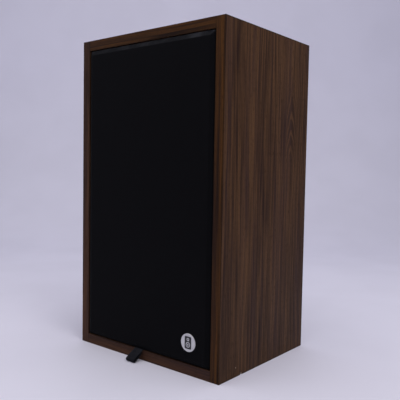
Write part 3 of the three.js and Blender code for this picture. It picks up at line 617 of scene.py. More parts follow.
@dataclass(frozen=True)
class Moulded(Finish):
    """Moulded plastic, rubber or a pressed part, with a fine texture."""

    base: Colour = srgb(26, 26, 28)
    pale: Colour = srgb(44, 44, 47)
    grain: float = 2600.0
    depth: float = 0.03 * MM
    roughness: float = 0.42
    rubbed: Colour = srgb(70, 70, 72)
    specular: float = 0.5

    def paint(self, graph: Graph, shader: Node) -> None:
        """A spark-eroded grain, paler drift, rubbed edges and dust.

        Args:
            graph: The node tree being wired.
            shader: The material's shader node.
        """
        spots = graph.effect(SPECKLE, Vector=graph.place(), Scale=self.grain)
        tone = graph.line(spots["Slow"], 0.5, graph.times(spots["Fine"], 0.25))
        mottled = graph.mix(tone, self.base, self.pale)
        wear = graph.effect(EDGE_WEAR, Reach=0.5 * MM, Scale=260.0, Amount=0.6)
        edged = graph.mix(wear["Mask"], mottled, self.rubbed)
        dust = graph.effect(DUST, Amount=0.3, Scale=1200.0)
        graph.feed(shader.inputs["Base Color"], graph.mix(dust["Mask"], edged, srgb(132, 128, 122)))
        rough = graph.line(spots["Slow"], 0.12, self.roughness)
        rough = graph.minus(rough, graph.times(wear["Mask"], 0.12))
        graph.feed(shader.inputs["Roughness"], rough)
        graph.feed(shader.inputs["Normal"], graph.bump(spots["Fine"], self.depth, 0.7))
        shader.inputs["Specular IOR Level"].default_value = self.specular


@dataclass(frozen=True)
class Metal(Finish):
    """Turned, stamped or plated metal."""

    bright: Colour = srgb(186, 188, 190)
    dull: Colour = srgb(120, 122, 124)
    roughness: float = 0.34
    metallic: float = 0.95
    centre: tuple[float, float] = (0.0, 0.0)
    pitch: float = 0.35 * MM
    depth: float = 0.02 * MM
    tarnish: float = 0.35

    def paint(self, graph: Graph, shader: Node) -> None:
        """Turning marks, a dull drift of tarnish and brighter edges.

        Args:
            graph: The node tree being wired.
            shader: The material's shader node.
        """
        lathe = graph.effect(LATHE, Centre_X=self.centre[0], Centre_Z=self.centre[1], Pitch=self.pitch)
        spots = graph.effect(SPECKLE, Vector=graph.place(), Scale=1500.0)
        drift = graph.times(spots["Slow"], self.tarnish)
        marked = graph.line(lathe["Marks"], 0.25, drift)
        tone = graph.mix(marked, self.bright, self.dull)
        wear = graph.effect(EDGE_WEAR, Reach=0.5 * MM, Scale=300.0, Amount=0.6)
        edged = graph.mix(wear["Mask"], tone, self.bright)
        dust = graph.effect(DUST, Amount=0.2, Scale=1300.0)
        graph.feed(shader.inputs["Base Color"], graph.mix(dust["Mask"], edged, srgb(140, 138, 134)))
        rough = graph.line(marked, 0.2, self.roughness)
        graph.feed(shader.inputs["Roughness"], graph.plus(rough, graph.times(dust["Mask"], 0.4)))
        metal = graph.line(dust["Mask"], -0.8, self.metallic)
        graph.feed(shader.inputs["Metallic"], metal)
        height = graph.line(lathe["Marks"], 0.7, graph.times(spots["Fine"], 0.3))
        graph.feed(shader.inputs["Normal"], graph.bump(height, self.depth, 0.6))


@dataclass(frozen=True)
class Fibre(Finish):
    """Felted or drawn fibre, such as cone paper or wadding."""

    base: Colour = srgb(30, 30, 31)
    pale: Colour = srgb(58, 57, 56)
    scale: float = 420.0
    stretch: tuple[float, float, float] = (1.0, 1.0, 1.0)
    depth: float = 0.15 * MM
    roughness: float = 0.9
    sheen: float = 0.1

    def paint(self, graph: Graph, shader: Node) -> None:
        """Crossing fibres of two tones.

        Args:
            graph: The node tree being wired.
            shader: The material's shader node.
        """
        place = graph.vectors("MULTIPLY", graph.place(), self.stretch).outputs[0]
        first = graph.effect(SPECKLE, Vector=place, Scale=self.scale)
        turned_place = graph.node("ShaderNodeVectorRotate", {"Vector": place, "Angle": 1.1}).outputs[0]
        squeezed = graph.vectors("MULTIPLY", turned_place, (1.0, 0.2, 3.0)).outputs[0]
        second = graph.effect(SPECKLE, Vector=squeezed, Scale=self.scale * 1.7)
        fibre = graph.times(first["Fine"], second["Fine"])
        tone = graph.line(first["Slow"], 0.35, graph.times(fibre, 0.7))
        dust = graph.effect(DUST, Amount=0.15, Scale=900.0)
        coloured = graph.mix(tone, self.base, self.pale)
        graph.feed(shader.inputs["Base Color"], graph.mix(dust["Mask"], coloured, srgb(134, 130, 126)))
        graph.feed(shader.inputs["Roughness"], graph.line(fibre, 0.1, self.roughness - 0.05))
        graph.feed(shader.inputs["Normal"], graph.bump(fibre, self.depth, 0.8))
        shader.inputs["Sheen Weight"].default_value = self.sheen
        shader.inputs["Specular IOR Level"].default_value = 0.25


# ---------------------------------------------------------------- meshes


def eased(value: float, low: float, high: float) -> float:
    """A value's share of the way from low to high, eased at both ends."""
    share = min(max((value - low) / (high - low), 0.0), 1.0)
    return share * share * (3 - 2 * share)


def collar(inner: float, outer: float, start: float, end: float) -> list[Point]:
    """The plain profile of a ring, as [radius, y]."""
    return [(inner, start), (outer, start), (outer, end), (inner, end)]


def lathe_points(profile: Sequence[Point], radius: float) -> list[Point]:
    """A profile with each real corner cut by a short three-point curve.

    Args:
        profile: Points of [radius, y].
        radius: How far from each corner the curve starts.

    Returns:
        The softened profile.
    """
    closed = profile[0][0] > TINY
    count = len(profile)
    soft: list[Point] = []
    for i, here in enumerate(profile):
        ends = i in (0, count - 1) and not closed
        corner = Vector(here)
        before = Vector(profile[i - 1]) - corner
        after = Vector(profile[(i + 1) % count]) - corner
        if ends or before.length < TINY or after.length < TINY or math.pi - before.angle(after) < 0.4:
            soft.append(tuple(here))
            continue
        start = corner + before.normalized() * min(radius, before.length * 0.45)
        end = corner + after.normalized() * min(radius, after.length * 0.45)
        middle = (start + end + corner * 2) / 4
        soft += [tuple(start), tuple(middle), tuple(end)]
    return soft


def sheet_profile(path: Sequence[Point], thickness: float) -> list[Point]:
    """The closed profile of a thin sheet that follows a path of [radius, y] points.

    Args:
        path: The sheet's middle line, as [radius, y].
        thickness: How thick it is.

    Returns:
        The profile, closed.
    """

    def side(sign: int) -> list[Point]:
        """One face of the sheet.

        Args:
            sign: Which face: 1 or -1.

        Returns:
            Its points, as [radius, y].
        """
        face: list[Point] = []
        for i, (r, y) in enumerate(path):
            r0, y0 = path[max(i - 1, 0)]
            r1, y1 = path[min(i + 1, len(path) - 1)]
            offset = sign * thickness / 2 / math.hypot(r1 - r0, y1 - y0)
            on_axis = r < TINY
            face.append(
                (0.0, y + sign * thickness / 2)
                if on_axis else (r - (y1 - y0) * offset, y + (r1 - r0) * offset)
            )
        return face

    return side(-1) + side(1)[::-1]


class Shape:
    """Points and faces that are being gathered into one mesh."""

    def __init__(self) -> None:
        """Starts empty."""
        self.points: list[Point] = []
        self.faces: list[tuple[int, ...]] = []

    def add(self, points: Iterable[Point], faces: Iterable[Sequence[int]]) -> "Shape":
        """Adds points, and faces that count from the first of them.

        Args:
            points: The points.
            faces: The faces.

        Returns:
            This shape.
        """
        first = len(self.points)
        self.points += [tuple(p) for p in points]
        self.faces += [tuple(first + i for i in face) for face in faces]
        return self

    def turned(self, profile: Sequence[Point], centre: Point, segments: int = 96) -> "Shape":
        """Turns a profile about an axis along Y.

        Args:
            profile: Points of [radius, y]; it starts and ends on the axis, or it is a closed loop.
            centre: The axis's [x, y, z], whose y is added to the profile's.
            segments: Steps round.

        Returns:
            This shape.
        """
        points: list[Point] = []
        rings: list[list[int]] = []
        for radius, depth in profile:
            start = len(points)
            if radius < TINY:
                points.append((centre[0], centre[1] + depth, centre[2]))
                rings.append([start] * segments)
                continue
            for k in range(segments):
                angle = TAU * k / segments
                x = centre[0] + radius * math.cos(angle)
                z = centre[2] + radius * math.sin(angle)
                points.append((x, centre[1] + depth, z))
            rings.append(list(range(start, start + segments)))
        pairs = list(zip(rings, rings[1:]))
        if profile[0][0] > TINY:
            pairs.append((rings[-1], rings[0]))
        faces = []
        for low, high in pairs:
            for k in range(segments):
                after = (k + 1) % segments
                face = tuple(dict.fromkeys((low[k], low[after], high[after], high[k])))
                if len(face) > 2:
                    faces.append(face)
        return self.add(points, faces)

    def block(self, low: Point, high: Point, turn: Matrix | None = None) -> "Shape":
        """A box between two corners, turned if a matrix is given."""
        corners = [
            Vector((x, y, z))
            for x in (low[0], high[0]) for y in (low[1], high[1]) for z in (low[2], high[2])
        ]
        faces = [(0, 1, 3, 2), (4, 6, 7, 5), (0, 4, 5, 1), (2, 3, 7, 6), (0, 2, 6, 4), (1, 5, 7, 3)]
        return self.add([tuple(turn @ c) if turn else tuple(c) for c in corners], faces)

    def prism(self, first: Sequence[Point], second: Sequence[Point]) -> "Shape":
        """A solid between two outlines.

        Args:
            first: One end's outline.
            second: The other end's, with as many points.

        Returns:
            This shape.
        """
        count = len(first)
        faces: list[Sequence[int]] = [tuple(range(count)), tuple(range(2 * count - 1, count - 1, -1))]
        faces += [(k, (k + 1) % count, count + (k + 1) % count, count + k) for k in range(count)]
        return self.add([*first, *second], faces)

    def tube(self, path: Sequence[Point], radius: float, sides: int = 12, closed: bool = False) -> "Shape":
        """A round bar along a path.

        Args:
            path: The centre line.
            radius: The bar's radius.
            sides: Steps round the bar.
            closed: Whether its end joins its start.

        Returns:
            This shape.
        """
        line = [Vector(p) for p in path]
        count = len(line)
        points: list[Point] = []
        up = Vector((0.13, 0.31, 0.94))
        for i, here in enumerate(line):
            before = line[i - 1] if closed or i else here
            after = line[(i + 1) % count] if closed or i < count - 1 else here
            forward = (after - before).normalized()
            side = forward.cross(up).normalized()
            up = side.cross(forward).normalized()
            for k in range(sides):
                angle = TAU * k / sides
                points.append(tuple(here + side * radius * math.cos(angle) + up * radius * math.sin(angle)))
        faces: list[Sequence[int]] = []
        for i in range(count if closed else count - 1):
            low = i * sides
            high = ((i + 1) % count) * sides
            faces += [
                (low + k, low + (k + 1) % sides, high + (k + 1) % sides, high + k) for k in range(sides)
            ]
        if not closed:
            faces += [tuple(range(sides))[::-1], tuple(range((count - 1) * sides, count * sides))]
        return self.add(points, faces)

    def made(self, name: str, smooth: float = 38.0) -> Object:
        """The shape as an object, its faces turned outward and shaded smooth below an angle.

        Args:
            name: The object's name.
            smooth: The angle, in degrees, below which edges are smooth.

        Returns:
            The object.
        """
        mesh = bpy.data.meshes.new(name)
        mesh.from_pydata(self.points, [], self.faces)
        made = bmesh.new()
        made.from_mesh(mesh)
        bmesh.ops.recalc_face_normals(made, faces=made.faces)
        made.to_mesh(mesh)
        made.free()
        smoothed(mesh, smooth)
        obj = bpy.data.objects.new(name, mesh)
        bpy.context.scene.collection.objects.link(obj)
        return obj


def smoothed(mesh: bpy.types.Mesh, angle: float) -> None:
    """Shades a new mesh smooth, with edges above an angle in degrees kept sharp."""
    mesh.shade_smooth()
    mesh.set_sharp_from_angle(angle=math.radians(angle))


def carved(piece: Object, tools: Shape, smooth: float = 38.0) -> Object:
    """Cuts a shape out of a new piece.

    Args:
        piece: What is cut.
        tools: What cuts it.
        smooth: The angle in degrees below which the result is shaded smooth.

    Returns:
        The piece.
    """
    cutter = tools.made(f"{piece.name}_cutter")
    modifier = piece.modifiers.new("cut", "BOOLEAN")
    modifier.solver = "EXACT"
    modifier.object = cutter
    depsgraph = bpy.context.evaluated_depsgraph_get()
    cut = bpy.data.meshes.new_from_object(piece.evaluated_get(depsgraph))
    piece.modifiers.clear()
    piece.data = cut
    bpy.data.objects.remove(cutter)
    smoothed(cut, smooth)
    return piece


def smoothing_group() -> bpy.types.NodeTree:
    """A geometry node group that shades smooth except across sharp edges, made the first time.

    Returns:
        The group.
    """
    name = "Smooth By Angle"
    found = bpy.data.node_groups.get(name)
    if found:
        return found
    tree = bpy.data.node_groups.new(name, "GeometryNodeTree")
    tree.interface.new_socket(name="Geometry", in_out="INPUT", socket_type="NodeSocketGeometry")
    tree.interface.new_socket(name="Geometry", in_out="OUTPUT", socket_type="NodeSocketGeometry")
    graph = Graph(tree)
    start = graph.node("NodeGroupInput").outputs[0]
    angle = graph.node("GeometryNodeInputMeshEdgeAngle").outputs[0]
    gentle = graph.node(
        "FunctionNodeCompare", {0: angle, 1: math.radians(38)}, operation="LESS_THAN"
    ).outputs[0]
    edges = graph.node(
        "GeometryNodeSetShadeSmooth", {"Geometry": start, "Shade Smooth": gentle}, domain="EDGE"
    )
    faces = graph.node("GeometryNodeSetShadeSmooth", {"Geometry": edges.outputs[0]}, domain="FACE")
    graph.node("NodeGroupOutput", {0: faces.outputs[0]})
    return tree


def finish_edges(
    obj: Object, width: float, segments: int = 2, weld: bool = True, cutter: Object | None = None
) -> None:
    """Rounds an object's edges with modifiers, and leaves its own mesh as it is.

    Args:
        obj: A node of the frame, or a new piece.
        width: The rounding's width.
        segments: Steps across it.
        weld: Whether the mesh is split along its edges, as a node's is.
        cutter: What is cut out of it before its edges are rounded; the cut has the cutter's finish.
    """
    if weld:
        joined = obj.modifiers.new("weld", "WELD")
        joined.merge_threshold = 0.005 * MM
        flat = obj.modifiers.new("dissolve", "DECIMATE")
        flat.decimate_type = "DISSOLVE"
        flat.angle_limit = math.radians(1)
    if cutter:
        cut = obj.modifiers.new("cut", "BOOLEAN")
        cut.solver = "EXACT"
        cut.material_mode = "TRANSFER"
        cut.object = cutter
    if width:
        rounding = obj.modifiers.new("round", "BEVEL")
        rounding.width = width
        rounding.segments = segments
        rounding.limit_method = "ANGLE"
        rounding.angle_limit = math.radians(35)
    shading = obj.modifiers.new("smooth", "NODES")
    shading.node_group = smoothing_group()
    normals = obj.modifiers.new("normals", "WEIGHTED_NORMAL")
    normals.keep_sharp = True


def paint(obj: Object, finish: Finish) -> Object:
    """Gives an object one finish in all its slots.

    Args:
        obj: The object.
        finish: Its finish.

    Returns:
        The object.
    """
    if not obj.material_slots:
        obj.data.materials.append(None)
    for slot in obj.material_slots:
        slot.material = finish.material()
    return obj


def dress(
    node: str, finish: Finish, rounding: float = 0.3 * MM, segments: int = 2, cutter: Object | None = None
) -> Object:
    """Keeps a node of the frame, with a detailed finish, rounded edges and perhaps a cut.

    Args:
        node: The node's name.
        finish: Its finish.
        rounding: The width of its rounded edges.
        segments: Steps across a rounded edge.
        cutter: What is cut away, if anything.

    Returns:
        The object.
    """
    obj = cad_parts[node]
    finish_edges(obj, rounding, segments, cutter=cutter)
    paint(obj, finish)
    LOG.info("%s keeps its own shape, in %s", node, finish.name)
    return obj


def fit(piece: Object, body: Body, finish: Finish, slot: str, *stands_for: str) -> Object:
    """Places a new piece.

    Args:
        piece: The piece, already where it belongs.
        body: The body it rides on.
        finish: Its surface.
        slot: The record's slot; not used.
        *stands_for: The nodes that it replaces.

    Returns:
        The piece.
    """
    paint(piece, finish)
    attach(piece, body.value)
    settle(stands_for)
    LOG.info("%s rides on %s", piece.name, body.value)
    return piece


def settle(stands_for: Sequence[str]) -> None:
    """Hides the nodes that a piece stands for."""
    if stands_for:
        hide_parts(*stands_for)


def radial_blend(piece: Object) -> None:
    """Bakes a ring's place into its mesh; the ring rides on no body.

    Args:
        piece: The ring, with no parent.
    """
    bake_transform(piece)
    LOG.info("%s flexes between cabinet and cone", piece.name)


def mid(node: str) -> Vector:
    """The middle of a node's box."""
    low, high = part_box(node)
    return (low + high) / 2


# ---------------------------------------------------------------- the cabinet


BLACK_SCREW = Metal("black_screw", bright=srgb(96, 96, 98), dull=srgb(60, 60, 62))
PLATED_SCREW = Metal("screw_plated", tarnish=0.6)
FERRITE = Moulded(
    "ferrite_black", base=srgb(36, 37, 40), pale=srgb(62, 63, 66), grain=1400.0,
    depth=0.08 * MM, roughness=0.66, specular=0.4,
)
COPPER = {"bright": srgb(196, 118, 70), "dull": srgb(130, 66, 34)}
# Browns for the right and top edge tapes: the golden hue is the tape's own, and the tones are darker than the
# sides' to paint the shade on the front face.
GOLD_STRIP_WITH_PAINTED_SHADE = {"light": srgb(85, 54, 23), "dark": srgb(26, 16, 11), "plum": srgb(38, 24, 19)}
WALNUT_STRIP_RED = {"light": srgb(84, 57, 39), "dark": srgb(38, 25, 22), "plum": srgb(49, 35, 34)}


@dataclass
class Cabinet:
    """The mitred wrap, its front edges, the baffle and the back."""

    arris: float = 0.7 * MM
    tape_arris: float = 0.15 * MM
    nick_from_front: float = 64.2 * MM
    nick_width: float = 6.4 * MM
    nick_height: float = 4.6 * MM
    nick_depth: float = 2.2 * MM
    fleck: tuple[float, float, float] = (47.7 * MM, 16.8 * MM, 0.8 * MM)
    screw_inset: float = 11.0 * MM
    screw_head: float = 3.6 * MM

    def build(self) -> None:
        """Dresses the boards and adds the back's screws."""
        low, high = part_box("side_panel_right")
        front, side, top = low.y, high.x, high.z
        figured = WalnutVinyl(
            "walnut_right", seed=3.2, arch=(front + side + 217 * MM, top - 165 * MM), arches=0.7
        )
        nick = self.nick(low, high)
        dress("side_panel_right", figured, self.arris, 3, nick)
        left = WalnutVinyl("walnut_left", seed=11.7, arch=(front - side + 120 * MM, top / 2), arches=0.6)
        dress("side_panel_left", left, self.arris, 3)
        over = WalnutVinyl("walnut_top", along=Axis.X, seed=23.4, arch=(top + 30 * MM, 40 * MM), arches=0.5)
        dress("top_panel", over, self.arris, 3)
        under = WalnutVinyl("walnut_bottom", along=Axis.X, seed=31.9)
        dress("bottom_panel", under, self.arris, 3, nick)
        for node, along, seed, browns in (
            ("edge_tape_left", Axis.Z, 41.3, WALNUT_STRIP_RED),
            ("edge_tape_right", Axis.Z, 47.9, GOLD_STRIP_WITH_PAINTED_SHADE),
            ("edge_tape_top", Axis.X, 53.1, GOLD_STRIP_WITH_PAINTED_SHADE),
            ("edge_tape_bottom", Axis.X, 59.6, WALNUT_STRIP_RED),
        ):
            tape = WalnutVinyl(f"walnut_{node}", along=along, seed=seed, **browns)
            dress(node, tape, self.tape_arris)
        dress("front_baffle", Board("baffle_black"), 0.5 * MM)
        dress("back_panel", Board("back_board", base=srgb(40, 36, 33), fleck=srgb(66, 56, 47)), 0.6 * MM)
        self.back_screws()

    def nick(self, low: Vector, high: Vector) -> Object:
        """A cutter that chips the lower arris of the right side, where it was knocked.

        Args:
            low: The side panel's lowest corner.
            high: Its highest corner.

        Returns:
            The cutter, hidden.
        """
        y = low.y + self.nick_from_front
        half = self.nick_width / 2
        depth = self.nick_depth
        broken = [(half, 0.0), (half * 0.35, 0.62), (-half * 0.1, 1.0), (-half * 0.55, 0.7), (-half, 0.0)]
        ends = []
        for x, share in ((high.x - depth, 0.3), (high.x + depth, 1.7)):
            end = [(x, y + dy, low.z - depth) for dy in (-half, half)]
            end += [(x, y + dy, low.z + self.nick_height * share * rise) for dy, rise in broken]
            ends.append(end)
        tool = Shape().prism(*ends)
        from_front, height, reach = self.fleck
        spot = Vector((high.x, low.y + from_front, low.z + height))
        turn = Matrix.Translation(spot) @ Matrix.Rotation(math.radians(35), 4, "X")
        tool.block((-0.4 * MM, -reach, -reach * 1.4), (depth, reach, reach * 1.4), turn)
        cutter = tool.made("side_panel_nick")
        paint(
            cutter,
            Board("chipped_board", base=srgb(150, 130, 108), fleck=srgb(186, 168, 146), edge_colour=srgb(196, 180, 160)),
        )
        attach(cutter, Body.CABINET.value)
        cutter.hide_render = True
        cutter.hide_viewport = True
        return cutter

    def back_screws(self) -> None:
        """Countersunk screws round the edge of the back panel."""
        low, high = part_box("back_panel")
        places = []
        for z in (low.z + self.screw_inset, high.z - self.screw_inset):
            places += [(x, z) for x in (low.x + self.screw_inset, 0.0, high.x - self.screw_inset)]
        for x in (low.x + self.screw_inset, high.x - self.screw_inset):
            places += [(x, low.z + (high.z - low.z) * share) for share in (0.34, 0.66)]
        screw = Screw(self.screw_head, 1.1 * MM, 1.7 * MM, 14 * MM, dished=True)
        fit(screw.set_of("back_panel_screws", places, high.y, -1), Body.CABINET, BLACK_SCREW, "screw_zinc")


@dataclass
class Screw:
    """A screw with a cross recess, along Y."""

    head: float
    rise: float
    shank: float
    length: float
    dished: bool = False
    recess: float = 1.3 * MM

    def profile(self) -> list[Point]:
        """The screw's outline of [radius, distance behind its seat].

        Returns:
            The outline.
        """
        if self.dished:
            head = [(0.0, -0.35 * MM), (self.head * 0.8, -0.3 * MM), (self.head, 0.0)]
            body = [(self.shank, 2 * MM)]
        else:
            crown = ((0.0, 1.0), (0.5, 1.0), (0.85, 0.72), (1.0, 0.2), (1.0, 0.0))
            head = [(self.head * out, -self.rise * up) for out, up in crown]
            body = [(self.shank, 0.0)]
        turns = 9
        start = 3 * MM
        step = (self.length - start - 3 * MM) / turns
        for i in range(turns):
            body += [(self.shank * 0.72, start + i * step), (self.shank, start + (i + 0.5) * step)]
        return head + body + [(self.shank * 0.6, self.length - 2 * MM), (0.0, self.length)]

    def set_of(self, name: str, places: Sequence[Point], seat: float, facing: int = 1) -> Object:
        """Several of these screws as one piece.

        Args:
            name: The piece's name.
            places: Where they go, as [x, z].
            seat: The y that their heads sit on.
            facing: 1 if the heads face the front, -1 if they face the back.

        Returns:
            The piece.
        """
        body = Shape()
        recess = Shape()
        long, wide = self.head * 0.62, self.head * 0.15
        cross = [
            (-long, -wide), (-wide, -wide), (-wide, -long), (wide, -long), (wide, -wide), (long, -wide),
            (long, wide), (wide, wide), (wide, long), (-wide, long), (-wide, wide), (-long, wide),
        ]
        for i, (x, z) in enumerate(places):
            outline = [(r, facing * y) for r, y in self.profile()]
            body.turned(outline, (x, seat, z), 28)
            turn = Matrix.Translation((x, seat, z)) @ Matrix.Rotation(0.6 + 1.9 * i, 4, "Y")
            low, high = sorted((-facing * 3 * MM, facing * (self.recess - self.rise)))
            recess.prism(*([turn @ Vector((x, y, z)) for x, z in cross] for y in (low, high)))
        return carved(body.made(name), recess)


# ---------------------------------------------------------------- the grille


@dataclass
class Grille:
    """The frame, its stretched cloth, the badge, the pegs and their sockets."""

    bevel_width: float = 9.0 * MM
    bevel_depth: float = 4.5 * MM
    corner: float = 5.0 * MM
    cloth: float = 0.6 * MM
    wrap: float = 8.0 * MM
    cells: tuple[int, int] = (72, 132)
    corner_steps: int = 4
    staple_pitch: float = 46.0 * MM
    ends: int = 4

    def build(self) -> None:
        """Makes and dresses every piece of the grille."""
        dress("grille_frame", Board("frame_black", base=srgb(24, 23, 23), fleck=srgb(46, 42, 38)), 0.6 * MM)
        self.stretch_cloth()
        self.staples()
        self.fittings()
        Badge().build()
        PullTab().build()

    def outline(self, inset: float, radius: float, y: float) -> list[Point]:
        """The grille's outline at a distance inside its edge, with the same number of points at any radius.

        Args:
            inset: Distance inside the outer edge.
            radius: Of the corners.
            y: Where it lies.

        Returns:
            Points, counter-clockwise from the lower left corner's diagonal.
        """
        low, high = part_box("grille_cloth")
        x0, x1, z0, z1 = low.x + inset, high.x - inset, low.z + inset, high.z - inset
        sides = (
            ((x0, z0), (1, 0), (0, 1), x1 - x0, self.cells[0]),
            ((x1, z0), (0, 1), (-1, 0), z1 - z0, self.cells[1]),
            ((x1, z1), (-1, 0), (0, -1), x1 - x0, self.cells[0]),
            ((x0, z1), (0, -1), (1, 0), z1 - z0, self.cells[1]),
        )
        points: list[Point] = []
        for corner, along, inward, length, cells in sides:
            for k in range(cells):
                run, depth = self.station(k, cells, length, radius)
                x = corner[0] + along[0] * run + inward[0] * depth
                z = corner[1] + along[1] * run + inward[1] * depth
                points.append((x, y, z))
        return points

    def station(self, k: int, cells: int, length: float, radius: float) -> tuple[float, float]:
        """How far along a side, and how far in from it, its point k lies.

        Args:
            k: The point's number.
            cells: How many cells the side has.
            length: The side's length.
            radius: The radius of its turned edge.

        Returns:
            The distance along, and the distance in.
        """
        steps = self.corner_steps
        if k < steps:
            angle = math.radians(45 * (1 - k / steps))
            return radius * (1 - math.sin(angle)), radius * (1 - math.cos(angle))
        if k > cells - steps:
            run, depth = self.station(cells - k, cells, length, radius)
            return length - run, depth
        share = (k - steps) / (cells - 2 * steps)
        return radius + (length - 2 * radius) * share, 0.0

    def stretch_cloth(self) -> None:
        """Cloth over the front, its bevel and sides, turned in behind the frame."""
        low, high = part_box("grille_cloth")
        front = low.y
        back = high.y + 0.75 * MM
        inset = self.bevel_width + 0.6 * MM
        columns = [
            self.station(k, self.cells[0], high.x - low.x - 2 * inset, 1.6 * MM)[0]
            for k in range(self.cells[0] + 1)
        ]
        rows = [
            self.station(k, self.cells[1], high.z - low.z - 2 * inset, 1.6 * MM)[0]
            for k in range(self.cells[1] + 1)
        ]
        points: list[Point] = []
        flat: list[Point] = []
        windows = self.windows()
        for v in rows:
            for u in columns:
                x = low.x + inset + u
                z = low.z + inset + v
                points.append((x, front + self.sink(x, z, windows), z))
                flat.append((x, z))
        width = len(columns)
        faces = [
            (r * width + c, r * width + c + 1, (r + 1) * width + c + 1, (r + 1) * width + c)
            for r in range(len(rows) - 1)
            for c in range(width - 1)
        ]
        last = (len(rows) - 1) * width
        rim = list(range(width - 1))
        rim += [r * width + width - 1 for r in range(len(rows) - 1)]
        rim += [last + c for c in range(width - 1, 0, -1)]
        rim += [r * width for r in range(len(rows) - 1, 0, -1)]
        slope = self.bevel_depth / self.bevel_width
        turns = [
            (self.bevel_width, 2.0, front + 0.06 * MM),
            (self.bevel_width - 0.6 * MM, 2.2, front + 0.35 * MM),
            (self.bevel_width * 0.66, 2.8, front + self.bevel_width * 0.34 * slope),
            (self.bevel_width * 0.33, 3.8, front + self.bevel_width * 0.67 * slope),
            (0.6 * MM, 4.6, front + self.bevel_depth - 0.25 * MM),
            (0.12 * MM, 5.0, front + self.bevel_depth + 0.3 * MM),
            (0.0, 5.0, front + self.bevel_depth + 1.2 * MM),
            (0.0, 5.0, (front + self.bevel_depth + back) / 2),
            (0.0, 5.0, back - 1.0 * MM),
            (0.15 * MM, 4.9, back - 0.3 * MM),
            (0.7 * MM, 4.4, back),
            (self.wrap * 0.5, 2.0, back + 0.03 * MM),
            (self.wrap, 0.8, back),
        ]
        inner = rim
        before = self.outline(inset, 1.6 * MM, front)
        run = 0.0
        for inset_now, radius, y in turns:
            ring = self.outline(inset_now, radius * MM, y)
            start = len(points)
            run += (Vector(ring[20]) - Vector(before[20])).length
            points += ring
            for here in self.outline(inset - run, 1.0 * MM, 0.0):
                flat.append((here[0], here[2]))
            outer = list(range(start, start + len(ring)))
            count = len(ring)
            faces += [
                (inner[k], outer[k], outer[(k + 1) % count], inner[(k + 1) % count]) for k in range(count)
            ]
            inner = outer
            before = ring
        shape = Shape().add(points, faces)
        cloth = shape.made("grille_cloth_stretched", 60.0)
        self.lay_flat(cloth, flat)
        if cloth.data.polygons[0].normal.y > 0:
            cloth.data.flip_normals()
        body = cloth.modifiers.new("cloth", "SOLIDIFY")
        body.thickness = self.cloth
        body.offset = -1.0
        # The strong specks on upward faces paint a highlight on the cloth's top bevel.
        fit(
            cloth, Body.GRILLE, Woven("speaker_cloth", thread=srgb(6, 6, 9), sheen=0.02, lint_and_top_light=0.55),
            "grille_cloth", "grille_cloth"
        )

    def windows(self) -> list[tuple[float, float, float]]:
        """Finds the frame's two windows.

        Returns:
            For each, [half width, lower z, upper z].
        """
        low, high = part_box("grille_frame")
        half = (high.x - low.x) / 2 - 30 * MM
        bar = low.z + 303.5 * MM
        return [(half, low.z + 54.5 * MM, bar), (half, bar + 24 * MM, high.z - 28.5 * MM)]

    @staticmethod
    def sink(x: float, z: float, windows: Sequence[tuple[float, float, float]]) -> float:
        """How far the cloth lies back over the frame's windows.

        Args:
            x: The place across.
            z: The place up.
            windows: The frame's windows.

        Returns:
            The distance back.
        """
        deepest = 0.0
        for half, z0, z1 in windows:
            inside = min(half - abs(x), z - z0, z1 - z)
            deepest = max(deepest, eased(inside, 0.0, 6 * MM))
        return 0.12 * MM * deepest

    @staticmethod
    def lay_flat(obj: Object, flat: Sequence[Point]) -> None:
        """Stores each point's place on the flat cloth, in metres, as the map that weaves use."""
        layer = obj.data.uv_layers.new(name="flat")
        for loop in obj.data.loops:
            layer.data[loop.index].uv = flat[loop.vertex_index]

    def staples(self) -> None:
        """Wire staples that hold the cloth's turned edge behind the frame."""
        low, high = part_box("grille_cloth")
        seat = high.y + 0.95 * MM
        edge = 5.2 * MM
        half = 4.5 * MM
        wire = 0.28 * MM
        shape = Shape()

        def staple(x: float, z: float, along: Axis) -> None:
            """One staple, its crown along an axis.

            Args:
                x: Its place across.
                z: Its place up.
                along: Its direction.
            """
            dx, dz = (half, 0.0) if along is Axis.X else (0.0, half)
            path = [
                (x - dx, seat - 4 * MM, z - dz), (x - dx, seat - 0.3 * MM, z - dz),
                (x - dx * 0.93, seat, z - dz * 0.93)
            ]
            path += [
                (x + dx * 0.93, seat, z + dz * 0.93),
                (x + dx, seat - 0.3 * MM, z + dz), (x + dx, seat - 4 * MM, z + dz)
            ]
            shape.tube(path, wire, 6)

        across = round((high.x - low.x - 60 * MM) / self.staple_pitch)
        upright = round((high.z - low.z - 110 * MM) / self.staple_pitch)
        for k in range(across + 1):
            x = low.x + 30 * MM + (high.x - low.x - 60 * MM) * k / across
            for z in (low.z + edge, high.z - edge):
                staple(x, z, Axis.X)
        for k in range(upright + 1):
            z = low.z + 55 * MM + (high.z - low.z - 110 * MM) * k / upright
            for x in (low.x + edge, high.x - edge):
                staple(x, z, Axis.Z)
        fit(shape.made("grille_staples", 50.0), Body.GRILLE, Metal("staple_wire"), "screw_zinc")

